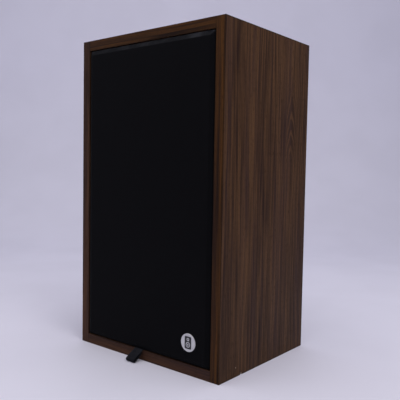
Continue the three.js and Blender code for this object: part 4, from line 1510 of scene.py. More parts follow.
    def fittings(self) -> None:
        """The pegs and the sockets that they push into."""
        plastic = Moulded("fitting_black")
        for i in range(1, self.ends + 1):
            low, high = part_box(f"grille_peg_{i}")
            centre = ((low.x + high.x) / 2, 0.0, (low.z + high.z) / 2)
            r = (high.x - low.x) / 2
            peg = [
                (0.0, low.y), (r, low.y), (r, high.y - 6.2 * MM), (r * 0.82, high.y - 5.4 * MM),
                (r * 0.82, high.y - 4.2 * MM), (r, high.y - 3.2 * MM), (r * 0.96, high.y - 1.8 * MM),
                (r * 0.7, high.y - 0.6 * MM), (r * 0.35, high.y - 0.1 * MM), (0.0, high.y),
            ]
            slots = Shape().block(
                (centre[0] - 0.35 * MM, high.y - 6 * MM, low.z - MM),
                (centre[0] + 0.35 * MM, high.y + MM, high.z + MM)
            )
            piece = carved(
                Shape().turned(lathe_points(peg, 0.3 * MM), centre, 40).made(f"grille_peg_split_{i}"), slots
            )
            fit(piece, Body.GRILLE, plastic, "black_plastic", f"grille_peg_{i}")
            low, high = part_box(f"grille_socket_{i}")
            centre = ((low.x + high.x) / 2, 0.0, (low.z + high.z) / 2)
            flange = (high.x - low.x) / 2
            bore, wall = 3.2 * MM, 5.0 * MM
            cup = [
                (bore, low.y + 0.8 * MM), (bore + 0.8 * MM, low.y),
                (flange, low.y + 0.1 * MM), (flange, low.y + MM),
                (wall, low.y + MM), (wall, high.y - 2 * MM), (wall - 0.6 * MM, high.y), (bore, high.y),
            ]
            piece = Shape().turned(lathe_points(cup, 0.25 * MM), centre, 48).made(f"grille_socket_cup_{i}")
            fit(piece, Body.CABINET, plastic, "black_plastic", f"grille_socket_{i}")


@dataclass
class Badge:
    """A turned silver disc with a small loudspeaker drawn on it."""

    rim: float = 1.1 * MM
    dish: float = 0.35 * MM
    line: float = 1.3 * MM
    proud: float = 0.12 * MM
    half: tuple[float, float] = (7.4 * MM, 11.0 * MM)
    plate_corner: float = 2.4 * MM

    def build(self) -> None:
        """Makes the disc and its enamelled sign."""
        low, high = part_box("grille_badge")
        radius = (high.x - low.x) / 2
        centre = mid("grille_badge")
        face = low.y + self.dish
        axis = (centre.x, 0.0, centre.z)
        profile = [
            (0.0, face), (radius - self.rim - 0.5 * MM, face),
            (radius - self.rim, low.y), (radius - 0.45 * MM, low.y),
            (radius, low.y + 0.5 * MM), (radius, high.y), (0.0, high.y),
        ]
        disc = Shape().turned(lathe_points(profile, 0.12 * MM), axis, 128).made("grille_badge_disc", 30.0)
        silver = Metal(
            "badge_silver", bright=srgb(216, 216, 217), dull=srgb(176, 176, 182), metallic=0.3,
            centre=(centre.x, centre.z), pitch=0.3 * MM, roughness=0.36, tarnish=0.25,
        )
        fit(disc, Body.GRILLE, silver, "silver_badge", "grille_badge")
        front = face - self.proud
        plate = self.plate(centre, front, face + 0.1 * MM)
        enamel = Moulded("badge_enamel", base=srgb(16, 16, 20), pale=srgb(28, 28, 34), roughness=0.3)
        fit(plate.made("grille_badge_plate", 30.0), Body.GRILLE, enamel, "black_plastic")
        rings = Shape()
        for reach, lift in ((4.7 * MM, -3.6 * MM), (2.7 * MM, 5.6 * MM)):
            ring = collar(reach - self.line, reach, front - self.proud, front + self.proud)
            rings.turned(lathe_points(ring, 0.05 * MM), (centre.x, 0.0, centre.z + lift), 72)
        dot = collar(0.0, 1.5 * MM, front - self.proud, front + self.proud)
        rings.turned(lathe_points(dot, 0.05 * MM), (centre.x, 0.0, centre.z - 3.6 * MM), 40)
        fit(rings.made("grille_badge_rings", 30.0), Body.GRILLE, silver, "silver_badge")

    def plate(self, centre: Vector, front: float, back: float) -> Shape:
        """The sign's ground: a little cabinet with rounded corners.

        Args:
            centre: The badge's middle.
            front: Where its front face lies along Y.
            back: Where its back face lies.

        Returns:
            The shape.
        """
        steps = 8
        radius = self.plate_corner
        outline = []
        for quarter, (sx, sz) in enumerate(QUARTERS):
            for k in range(steps + 1):
                angle = math.radians(90 * quarter + 90 * k / steps)
                x = centre.x + sx * (self.half[0] - radius) + radius * math.cos(angle)
                z = centre.z + sz * (self.half[1] - radius) + radius * math.sin(angle)
                outline.append((x, z))
        return Shape().prism(*([(x, y, z) for x, z in outline] for y in (front, back)))


@dataclass
class PullTab:
    """A loop of webbing that hangs out of the gap under the grille."""

    thickness: float = 1.3 * MM
    length: float = 25.4 * MM
    bulge: float = 4.6 * MM
    tail: float = 12.0 * MM
    pinched: float = 0.5 * MM
    steep: float = 50.0
    shallow: float = 34.0
    step: float = 0.25 * MM

    def centre_line(self) -> list[tuple[float, float, float]]:
        """The webbing's middle line down one layer, round the end and back.

        Returns:
            Points of [along, across, thickness], with along measured out from the hinge.
        """
        radius = self.bulge / 2 + self.thickness / 2
        length = self.length
        lower: list[tuple[float, float, float]] = []
        tail_steps = 6
        for i in range(tail_steps):
            lower.append((-self.tail * (1 - i / tail_steps), -self.pinched / 2 - 0.02 * MM, self.pinched))
        steps = 22
        for i in range(steps + 1):
            share = i / steps
            swell = eased(share, 0.06, 0.7)
            thick = self.pinched + (self.thickness - self.pinched) * min(share * 4, 1.0)
            gap = (radius - thick / 2) * swell
            lower.append((length * share, -thick / 2 - 0.03 * MM - gap, thick))
        turn = 14
        end = []
        low_end = lower[-1]
        for i in range(1, turn):
            angle = -math.pi / 2 + math.pi * i / turn
            end.append((length + radius * math.cos(angle), -low_end[1] * math.sin(angle), self.thickness))
        upper = [(along, -across, thick) for along, across, thick in reversed(lower)]
        return lower + end + upper

    def build(self) -> None:
        """Weaves the loop along its bent course, and stitches it."""
        low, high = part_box("pull_tab")
        hinge = Vector(((low.x + high.x) / 2, high.y - 0.3 * MM, high.z - 0.85 * MM))
        course = self.course()
        half = (high.x - low.x) / 2 + 0.6 * MM
        line = self.centre_line()
        lateral = [-1.0, -0.985, -0.94, -0.86] + [
            -0.86 + 1.72 * k / 14 for k in range(1, 14)
        ] + [0.86, 0.94, 0.985, 1.0]
        points: list[Point] = []
        flat: list[Point] = []
        run = 0.0
        sections = []
        for i, (along, across, thick) in enumerate(line):
            before = Vector(line[max(i - 1, 0)][:2])
            after = Vector(line[min(i + 1, len(line) - 1)][:2])
            forward = (after - before).normalized()
            normal = Vector((-forward.y, forward.x))
            run += (Vector(line[i][:2]) - Vector(line[i - 1][:2])).length if i else 0.0
            section = []
            for sign in (1, -1):
                row = lateral if sign > 0 else lateral[::-1][1:-1]
                for share in row:
                    rounded = math.sqrt(max(1 - max((abs(share) - 0.86) / 0.14, 0.0) ** 2, 0.0))
                    crown = 0.94 + 0.06 * math.cos(share * 9.0)
                    offset = sign * thick / 2 * (0.25 + 0.75 * rounded) * crown
                    spot = Vector((along, across)) + normal * offset
                    section.append(len(points))
                    points.append(self.placed(spot, share * half, hinge, course))
                    flat.append((share * half, run))
            sections.append(section)
        count = len(sections[0])
        faces: list[Sequence[int]] = []
        for first, second in zip(sections, sections[1:]):
            faces += [
                (first[k], first[(k + 1) % count], second[(k + 1) % count], second[k]) for k in range(count)
            ]
        faces += [tuple(sections[0])[::-1], tuple(sections[-1])]
        tab = Shape().add(points, faces).made("pull_tab_webbing", 60.0)
        Grille.lay_flat(tab, flat)
        webbing = Woven(
            "tab_webbing", thread=srgb(22, 22, 27), gap=srgb(7, 7, 9),
            pitch=1.15 * MM, depth=0.35 * MM, sheen=0.16, lint_and_top_light=0.12
        )
        paint(tab, webbing)
        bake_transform(tab)
        settle(["pull_tab"])
        LOG.info("%s bends between grille and tab", tab.name)
        self.stitches(hinge, course, half)

    def course(self) -> list[tuple[float, float, float]]:
        """How the middle of the loop runs: level in the gap, steep over the edge, then shallower.

        Returns:
            Points of [forward, down, slope], one for each step from the end of the tail.
        """
        forward, down = -self.tail, 0.0
        course = []
        count = int((self.tail + self.length + 2 * self.bulge) / self.step)
        for i in range(count):
            along = i * self.step - self.tail
            bend = min(max((along + 1.0 * MM) / (3.5 * MM), 0.0), 1.0)
            ease = min(max((along - 4.0 * MM) / (8.0 * MM), 0.0), 1.0)
            angle = math.radians(self.steep * bend + (self.shallow - self.steep) * ease)
            course.append((forward, down, angle))
            forward += self.step * math.cos(angle)
            down += self.step * math.sin(angle)
        return course

    def placed(self, spot: Vector, side: float, hinge: Vector, course: Sequence[Point]) -> Point:
        """A point of the loop in the row frame.

        Args:
            spot: How far along the loop's middle line, and how far above it.
            side: How far to the side of that line.
            hinge: Where the line leaves the gap.
            course: The line, from course().

        Returns:
            The point.
        """
        along, across = spot
        place = min(max((along + self.tail) / self.step, 0.0), len(course) - 1.001)
        first, second = course[int(place)], course[int(place) + 1]
        share = place - int(place)
        forward, down, angle = (a + (b - a) * share for a, b in zip(first, second))
        y = hinge.y - forward - across * math.sin(angle)
        z = hinge.z - down + across * math.cos(angle)
        return (hinge.x + side, y, z)

    def layer_top(self, along: float) -> float:
        """How far the upper face lies above the loop's middle line.

        Args:
            along: The distance along the loop.

        Returns:
            The distance above the line.
        """
        rising = [
            (a, across + thick / 2)
            for a, across, thick in self.centre_line()
            if across > 0 and a < self.length
        ]
        return max(top for a, top in rising if abs(a - along) < 1.3 * MM)

    def stitches(self, hinge: Vector, course: Sequence[Point], half: float) -> None:
        """Two rows of thread across the joined layers, near the grille.

        Args:
            hinge: The tab's hinge.
            course: The fold's course.
            half: Half the width of the webbing.
        """
        shape = Shape()
        for along in (6.5 * MM, 8.3 * MM):
            stitch = 2.4 * MM
            count = int(2 * (half - 1.6 * MM) / stitch)
            for i in range(count):
                side = -half + 1.6 * MM + (i + 0.2) * stitch
                lift = self.layer_top(along) + 0.05 * MM
                path = []
                for k in range(5):
                    share = k / 4
                    rise = lift - 0.35 * MM * (2 * share - 1) ** 2
                    path.append(
                        self.placed(Vector((along, rise)), side + stitch * 0.75 * share, hinge, course)
                    )
                shape.tube(path, 0.16 * MM, 6)
        thread = Woven(
            "tab_thread", thread=srgb(36, 36, 41), gap=srgb(16, 16, 18),
            pitch=0.2 * MM, flat=False, depth=0.05 * MM
        )
        fit(shape.made("pull_tab_stitches", 50.0), Body.TAB, thread, "webbing")


# ---------------------------------------------------------------- the drivers


@dataclass
class Driver:
    """A drive unit, turned about an axis along Y. Depths are from the baffle's front face."""

    name: str = ""
    rim_part: str = ""
    plating: str = ""
    wire: str = ""
    bolts: float = 0.0
    bolt_hole: float = 2.1 * MM
    soft: float = 0.3 * MM
    segments: int = 128

    def __post_init__(self) -> None:
        """Finds the driver's place from the frame."""
        centre = mid(f"{self.name}_{self.rim_part}")
        self.centre = (centre.x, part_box("front_baffle")[0].y, centre.z)
        self.axis = (centre.x, centre.z)

    def bolt_places(self) -> list[tuple[float, float]]:
        """Where the four screws go, as [x, z]."""
        reach = self.bolts * math.sqrt(0.5)
        return [(self.axis[0] + sx * reach, self.axis[1] + sz * reach) for sx, sz in QUARTERS]

    def holes(self) -> Shape:
        """Tools for the screw holes in the rim.

        Returns:
            Four pins, for cutting.
        """
        shape = Shape()
        for x, z in self.bolt_places():
            shape.turned(collar(0.0, self.bolt_hole, -10 * MM, 10 * MM), (x, self.centre[1], z), 24)
        return shape

    def turn(
        self, name: str, profile: Sequence[Point], soft: float | None = None, segments: int | None = None
    ) -> Object:
        """A piece turned about the driver's axis.

        Args:
            name: The piece's name.
            profile: Points of [radius, depth].
            soft: How far its corners are softened, if not by the driver's usual amount.
            segments: Steps round, if not the driver's usual number.

        Returns:
            The piece.
        """
        softened = lathe_points(profile, self.soft if soft is None else soft)
        return Shape().turned(softened, self.centre, segments or self.segments).made(name)

    def magnet_parts(
        self, top: Sequence[Point], ring: Sequence[Point], yoke: Sequence[Point], soft: Point
    ) -> None:
        """Turns the motor's three parts.

        Args:
            top: The top plate's profile.
            ring: The magnet's profile.
            yoke: The profile of the back plate with its pole.
            soft: How far the corners of each are softened.
        """
        zinc = Metal(
            self.plating, bright=srgb(170, 168, 150), dull=srgb(112, 110, 98), centre=self.axis, tarnish=0.7
        )
        for part, work, profile, finish, slot, amount in (
            ("top_plate", "turned", top, zinc, "zinc_plate", soft[0]),
            ("magnet", "ring", ring, FERRITE, "ferrite", soft[1]),
            ("back_plate", "turned", yoke, zinc, "zinc_plate", soft[2]),
        ):
            node = f"{self.name}_{part}"
            fit(self.turn(f"{node}_{work}", profile, amount), Body.CABINET, finish, slot, node)

    def wind(self, body: Body, profile: Sequence[Point], segments: int) -> None:
        """Makes the voice coil's copper winding from its profile."""
        copper = Metal(self.wire, **COPPER, centre=self.axis, tarnish=0.6)
        piece = Shape().turned(profile, self.centre, segments).made(f"{self.name}_winding", 50.0)
        fit(piece, body, copper, "copper", f"{self.name}_voice_coil")

    def drive_screws(self) -> None:
        """Puts the four screws through the rim."""
        screw = Screw(3.75 * MM, 2.4 * MM, 1.8 * MM, 17 * MM)
        screws = screw.set_of(f"{self.name}_screws", self.bolt_places(), self.centre[1])
        nodes = [f"{self.name}_screw_{i}" for i in range(1, 5)]
        fit(screws, Body.CABINET, PLATED_SCREW, "screw_zinc", *nodes)


@dataclass
class Woofer(Driver):
    """The ten-inch driver."""

    name: str = "woofer"
    rim_part: str = "gasket"
    plating: str = "plate_zinc"
    wire: str = "copper_wire"
    rim: float = 127.0 * MM
    mouth: float = 114.0 * MM
    gasket_inner: float = 116.5 * MM
    lip_outer: float = 119.1 * MM
    cone_neck: float = 20.7 * MM
    cone_rim: float = 99.5 * MM
    cone_start: float = 5.0 * MM
    cone_depth: float = 37.0 * MM
    cone_flare: float = 0.85
    paper: float = 1.1 * MM
    cap: float = 34.0 * MM
    cap_height: float = 12.0 * MM
    bolts: float = 121.5 * MM
    coil: float = 19.2 * MM
    magnet: float = 55.0 * MM
    magnet_bore: float = 27.0 * MM
    plate: float = 51.0 * MM
    ledge: float = 61.5 * MM
    window: float = 46.0 * MM
    windows: int = 6
    ripples: int = 4

    def cone_y(self, r: float) -> float:
        """The cone's depth at a radius."""
        share = (r - self.cone_neck) / (self.cone_rim - self.cone_neck)
        return self.cone_start + self.cone_depth - self.cone_depth * max(share, 0.0) ** self.cone_flare

    def build(self) -> None:
        """Makes and dresses the driver's pieces."""
        self.frame_pieces()
        self.motor()
        self.diaphragm()
        self.suspension()
        self.drive_screws()

    def frame_pieces(self) -> None:
        """The gasket, the stamped basket and the tag strip."""
        g = self.gasket_inner
        lip = self.lip_outer + 0.3 * MM
        gasket = [
            (g, 0.2 * MM), (g + 0.6 * MM, 0.0), (g + 3.4 * MM, 0.0),
            (g + 3.8 * MM, 0.35 * MM), (g + 4.4 * MM, 0.35 * MM),
            (g + 4.8 * MM, 0.0), (self.rim - 0.5 * MM, 0.0), (self.rim, 0.4 * MM), (self.rim, 2.5 * MM),
            (lip, 2.5 * MM), (lip, 1.2 * MM), (g, 1.2 * MM),
        ]
        piece = carved(self.turn("woofer_gasket_ring", gasket, 0.15 * MM), self.holes())
        foam = Moulded(
            "gasket_foam", base=srgb(24, 24, 25), pale=srgb(44, 43, 43),
            grain=1100.0, depth=0.12 * MM, roughness=0.85
        )
        fit(piece, Body.CABINET, foam, "gasket", "woofer_gasket")

        course = [(self.rim, 0.0, 3.25)]
        course += [(self.mouth, out, y) for out, y in ((1.5, 3.25), (-0.4, 4.2), (-3.0, 8.5), (-15.0, 29.5))]
        steps = ((4.5, 49.6), (2.0, 51.5), (-5.2, 51.5), (-7.0, 53.0), (-8.6, 60.6), (-10.4, 62.25))
        course += [(self.ledge, out, y) for out, y in steps]
        course.append((self.coil, 4.0, 62.25))
        spots = [(radius + out * MM, y * MM) for radius, out, y in course]
        tools = self.holes()
        for i in range(self.windows):
            spin = Matrix.Translation(self.centre) @ Matrix.Rotation(TAU * i / self.windows, 4, "Y")
            self.cut_window(tools, spin)
        shell = Shape().turned(
            sheet_profile(spots, 1.5 * MM), self.centre, 128
        ).made("woofer_basket_stamped")
        steel = Moulded(
            "basket_enamel", base=srgb(30, 31, 33), pale=srgb(48, 49, 52),
            grain=900.0, roughness=0.38, rubbed=srgb(120, 120, 122)
        )
        fit(carved(shell, tools), Body.CABINET, steel, "basket_steel", "woofer_basket")

        low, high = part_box("woofer_tag_strip")
        strip = Shape().block(low, high)
        for side in (-1, 1):
            x = (low.x + high.x) / 2 + side * (high.x - low.x) * 0.27
            z = (low.z + high.z) / 2
            strip.block(
                (x - 2.4 * MM, high.y - 0.1 * MM, z - 6 * MM),
                (x + 2.4 * MM, high.y + 0.5 * MM, z + 6.5 * MM)
            )
            eyelet = collar(0.9 * MM, 2.0 * MM, 0.0, 0.9 * MM)
            strip.turned(lathe_points(eyelet, 0.2 * MM), (x, high.y + 0.1 * MM, z - 2 * MM), 28)
        piece = strip.made("woofer_tag_strip_riveted")
        finish_edges(piece, 0.25 * MM, 2, weld=False)
        fibre = Fibre("tag_fibre", base=srgb(96, 66, 38), pale=srgb(132, 98, 62))
        fit(piece, Body.CABINET, fibre, "contact_brass", "woofer_tag_strip")

    def cut_window(self, tools: Shape, spin: Matrix) -> None:
        """Adds a window's cutter: a block that is narrower towards the ledge, with cut corners.

        Args:
            tools: What the cutter is added to.
            spin: Its turn about the driver's axis.
        """
        half = self.window / 2
        near, far = self.ledge + 8 * MM, self.rim
        y0, y1 = 11.5 * MM, 46 * MM
        cut = 6 * MM
        ring = [(y0, -half + cut), (y0, half - cut), (y0 + cut, half), (y1 - cut, half * 0.86)]
        ring += [
            (y1, half * 0.86 - cut), (y1, -half * 0.86 + cut), (y1 - cut, -half * 0.86), (y0 + cut, -half)
        ]
        tools.prism(*([spin @ Vector((x, y, z)) for y, z in ring] for x in (near, far)))

    def motor(self) -> None:
        """The plates, the magnet and the pole."""
        top, plate_end, magnet_end = 63 * MM, 69 * MM, 85 * MM
        pole = self.coil - 0.6 * MM
        gap = self.coil + 1.6 * MM
        plate = collar(gap, self.plate, top, plate_end)
        ring = collar(self.magnet_bore, self.magnet, plate_end, magnet_end)
        back_end = magnet_end + 6 * MM
        yoke = [
            (0.0, top + 6 * MM), (5 * MM, top + 6 * MM), (5.6 * MM, top),
            (pole - 0.8 * MM, top), (pole, top + 0.8 * MM),
            (pole, magnet_end), (self.plate, magnet_end), (self.plate, back_end), (26 * MM, back_end),
            (25 * MM, back_end - 0.7 * MM), (6 * MM, back_end - 0.7 * MM),
            (5 * MM, back_end - 4 * MM), (0.0, back_end - 4 * MM),
        ]
        self.magnet_parts(plate, ring, yoke, (0.8 * MM, 1.4 * MM, 0.6 * MM))

    def diaphragm(self) -> None:
        """The cone, the dust cap, the former and the winding."""
        steps = 44
        path = []
        for i in range(steps + 1):
            r = self.cone_neck + (self.cone_rim - self.cone_neck) * i / steps
            share = (r - 52 * MM) / (30 * MM)
            rib = 0.35 * MM * max(math.sin(share * TAU * 1.5), 0.0) if 0 < share < 1 else 0.0
            path.append((r, self.cone_y(r) - rib))
        cone = Shape().turned(sheet_profile(path, self.paper), self.centre, 128).made("woofer_cone_paper")
        paper = Fibre("cone_paper", base=srgb(26, 26, 27), pale=srgb(56, 55, 54))
        fit(cone, Body.WOOFER, paper, "cone_paper", "woofer_cone")
        base = self.cone_y(self.cap) - 2 * self.paper - 0.3 * MM
        dome = [(self.cap * i / 20, base - self.cap_height * (1 - (i / 20) ** 2)) for i in range(21)]
        cap = Shape().turned(sheet_profile(dome, self.paper), self.centre, 96).made("woofer_dust_cap_felt")
        felt = Fibre("cap_felt", base=srgb(20, 20, 21), pale=srgb(44, 43, 43), scale=700.0, sheen=0.3)
        fit(cap, Body.WOOFER, felt, "cone_paper", "woofer_dust_cap")
        start, end = 38 * MM, 72.5 * MM
        former = collar(self.coil, self.coil + 0.4 * MM, start, end)
        kraft = Fibre("former_paper", base=srgb(150, 118, 72), pale=srgb(186, 154, 104), roughness=0.6)
        fit(
            self.turn("woofer_former_tube", former, 0.1 * MM, 96),
            Body.WOOFER, kraft, "former", "woofer_coil_former"
        )
        inner, outer = self.coil + 0.5 * MM, self.coil + 1.1 * MM
        self.wind(Body.WOOFER, winding_profile(inner, outer, 59.5 * MM, 72.5 * MM, 24), 96)

    def suspension(self) -> None:
        """The half-roll surround and the corrugated spider, between cabinet and cone."""
        skin = 0.7 * MM
        inner = self.cone_rim - self.paper / 2
        outer = self.gasket_inner - 0.3 * MM - skin

        def lip_y(r: float) -> float:
            """The depth of the lip that lies on the cone."""
            return self.cone_y(r) - self.paper - skin / 2 - 0.3 * MM

        start, end = lip_y(inner), 2.5 * MM - skin / 2 - 0.15 * MM
        steps = 28
        path = [(inner - 4 * MM, lip_y(inner - 4 * MM)), (inner - 2 * MM, lip_y(inner - 2 * MM))]
        for i in range(steps + 1):
            share = i / steps
            r = (inner + outer) / 2 - (outer - inner) / 2 * math.cos(math.pi * share)
            y = start + (end - start) * share - (outer - inner) * 0.45 * math.sin(math.pi * share)
            path.append((r, y))
        path.append((self.lip_outer, end))
        roll = Shape().turned(sheet_profile(path, skin), self.centre, 128).made("woofer_surround_roll")
        foam = Moulded(
            "surround_foam", base=srgb(26, 26, 26), pale=srgb(48, 47, 46),
            grain=1500.0, depth=0.1 * MM, roughness=0.8
        )
        paint(roll, foam)
        radial_blend(roll)
        settle(["woofer_surround"])

        sheet = 0.6 * MM
        first = self.coil + 0.7 * MM
        flat = self.ledge - 6 * MM
        level = 50 * MM + 0.75 * MM - sheet / 2 - 0.3 * MM
        steps = 72
        path = []
        for i in range(steps + 1):
            share = i / steps
            wave = 1.35 * MM * math.sin(TAU * self.ripples * share)
            path.append((first + (flat - 2 * MM - first) * share, level - 2 * MM - wave))
        path += [(flat, level), (self.ledge, level)]
        spider = Shape().turned(
            sheet_profile(path, sheet), self.centre, 128
        ).made("woofer_spider_corrugated", 50.0)
        cloth = Woven(
            "spider_cloth", thread=srgb(196, 150, 78), gap=srgb(120, 84, 36),
            pitch=0.9 * MM, flat=False, roughness=0.75, lint_and_top_light=0.2, sheen=0.1
        )
        paint(spider, cloth)
        radial_blend(spider)
        settle(["woofer_spider"])


def winding_profile(inner: float, outer: float, start: float, end: float, turns: int) -> list[Point]:
    """The closed profile of a coil of round wire: scalloped outside, plain inside.

    Args:
        inner: The coil's inner radius.
        outer: Its outer radius.
        start: Where it starts along Y.
        end: Where it ends.
        turns: How many turns show.

    Returns:
        The profile, as [radius, y].
    """
    step = (end - start) / turns
    profile = [(inner, start), (outer - step * 0.3, start)]
    for i in range(turns):
        middle = start + (i + 0.5) * step
        profile += [(outer, middle), (outer - step * 0.3, middle + step * 0.5)]
    return profile + [(inner, end)]


@dataclass
class Tweeter(Driver):
    """The dome driver."""

    name: str = "tweeter"
    rim_part: str = "faceplate"
    plating: str = "tweeter_zinc"
    wire: str = "tweeter_wire"
    soft: float = 0.25 * MM
    segments: int = 112
    rim: float = 52.0 * MM
    mouth: float = 16.0 * MM
    flare: float = 27.0 * MM
    dome: float = 12.7 * MM
    dome_height: float = 5.0 * MM
    surround: float = 17.5 * MM
    roll: float = 0.6 * MM
    bolts: float = 45.0 * MM
    magnet: float = 36.0 * MM
    plate: float = 33.0 * MM

    def build(self) -> None:
        """Makes and dresses the driver's pieces."""
        face = [
            (self.mouth, 4 * MM), (self.mouth, 3 * MM), (self.mouth + 4 * MM, 1.2 * MM),
            (self.mouth + 7 * MM, 0.45 * MM), (self.flare, 0.0), (self.rim - 4.2 * MM, 0.0),
            (self.rim - 3.8 * MM, 0.4 * MM), (self.rim - 3.2 * MM, 0.4 * MM), (self.rim - 2.8 * MM, 0.0),
            (self.rim, 0.0), (self.rim, 4 * MM),
        ]
        plate = carved(self.turn("tweeter_faceplate_moulded", face), self.holes())
        fit(
            plate, Body.CABINET, Moulded("face_plastic", roughness=0.48),
            "black_plastic", "tweeter_faceplate"
        )
        self.diaphragm()
        self.motor()
        self.drive_screws()

    def diaphragm(self) -> None:
        """The silk dome with its surround, and the winding."""
        base = 5.1 * MM
        steps, roll_steps = 16, 10
        path = []
        for i in range(steps + 1):
            angle = math.pi / 2 * i / steps
            path.append((self.dome * math.sin(angle), base - self.dome_height * math.cos(angle)))
        width = self.surround - self.dome
        for i in range(1, roll_steps + 1):
            share = i / roll_steps
            path.append((self.dome + width * share, base - self.roll * math.sin(math.pi * share)))
        silk = Woven(
            "dome_silk", thread=srgb(36, 36, 40), gap=srgb(18, 18, 20), pitch=0.35 * MM,
            flat=False, depth=0.04 * MM, roughness=0.55, lint_and_top_light=0.1,
        )
        dome = Shape().turned(sheet_profile(path, 0.5 * MM), self.centre, 96).made("tweeter_dome_silk", 50.0)
        fit(dome, Body.TWEETER, silk, "dome_silk", "tweeter_dome")
        coil = winding_profile(self.dome - 0.3 * MM, self.dome + 0.3 * MM, 5.45 * MM, 9.65 * MM, 9)
        self.wind(Body.TWEETER, coil, 80)

    def motor(self) -> None:
        """The plates, the magnet and the pole."""
        start, plate_end, magnet_end = 6.15 * MM, 10.15 * MM, 18.15 * MM
        gap = self.dome + 0.9 * MM
        step = self.surround + 2 * MM
        top = [
            (gap, start), (step, start), (step, 4 * MM), (self.plate, 4 * MM),
            (self.plate, plate_end), (gap, plate_end),
        ]
        ring = collar(18 * MM, self.magnet, plate_end, magnet_end)
        pole = self.dome - 0.9 * MM
        back = magnet_end + 4 * MM
        yoke = [
            (0.0, start), (pole - 0.6 * MM, start), (pole, start + 0.6 * MM),
            (pole, magnet_end), (self.plate, magnet_end),
            (self.plate, back), (9 * MM, back), (8 * MM, back - 0.5 * MM), (0.0, back - 0.5 * MM),
        ]
        self.magnet_parts(top, ring, yoke, (self.soft, 1.0 * MM, 0.5 * MM))


# ---------------------------------------------------------------- the back and the inside


@dataclass
class Terminals:
    """The terminal cup with its levers, contacts, screws and polarity signs."""

    screw_inset: float = 5.0 * MM
    sign: float = 2.1 * MM
    sign_line: float = 0.45 * MM

    def build(self) -> None:
        """Dresses the cup and its levers."""
        dress("terminal_cup", Moulded("cup_plastic", roughness=0.46), 0.35 * MM)
        red = Moulded(
            "lever_red", base=srgb(150, 22, 18), pale=srgb(176, 40, 32),
            rubbed=srgb(196, 80, 66), roughness=0.36
        )
        dress("terminal_lever_red", red, 0.4 * MM)
        black = Moulded("lever_black", base=srgb(18, 18, 20), pale=srgb(34, 34, 36), roughness=0.36)
        dress("terminal_lever_black", black, 0.4 * MM)
        brass = Metal("contact_brass", bright=srgb(206, 172, 96), dull=srgb(142, 110, 52))
        dress("terminal_clip_red", brass, 0.15 * MM)
        dress("terminal_clip_black", brass, 0.15 * MM)
        low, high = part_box("terminal_cup")
        inset = self.screw_inset
        places = [(x, z) for x in (low.x + inset, high.x - inset) for z in (low.z + inset, high.z - inset)]
        screw = Screw(3.0 * MM, 0.6 * MM, 1.4 * MM, 12 * MM, dished=True)
        screws = screw.set_of("terminal_cup_screws", places, high.y + 0.05 * MM, -1)
        fit(screws, Body.CABINET, BLACK_SCREW, "screw_zinc")
        signs = Shape()
        face = high.y
        for lever, upright in (("terminal_lever_red", True), ("terminal_lever_black", False)):
            x = mid(lever).x
            z = high.z - 4.4 * MM
            long, thin = self.sign, self.sign_line
            signs.block((x - long, face - 0.05 * MM, z - thin), (x + long, face + 0.25 * MM, z + thin))
            if upright:
                signs.block((x - thin, face - 0.05 * MM, z - long), (x + thin, face + 0.25 * MM, z + long))
        piece = signs.made("terminal_polarity_signs")
        finish_edges(piece, 0.08 * MM, 2, weld=False)
        fit(
            piece, Body.CABINET,
            Moulded("sign_white", base=srgb(190, 190, 186), pale=srgb(214, 214, 210)), "black_plastic"
        )


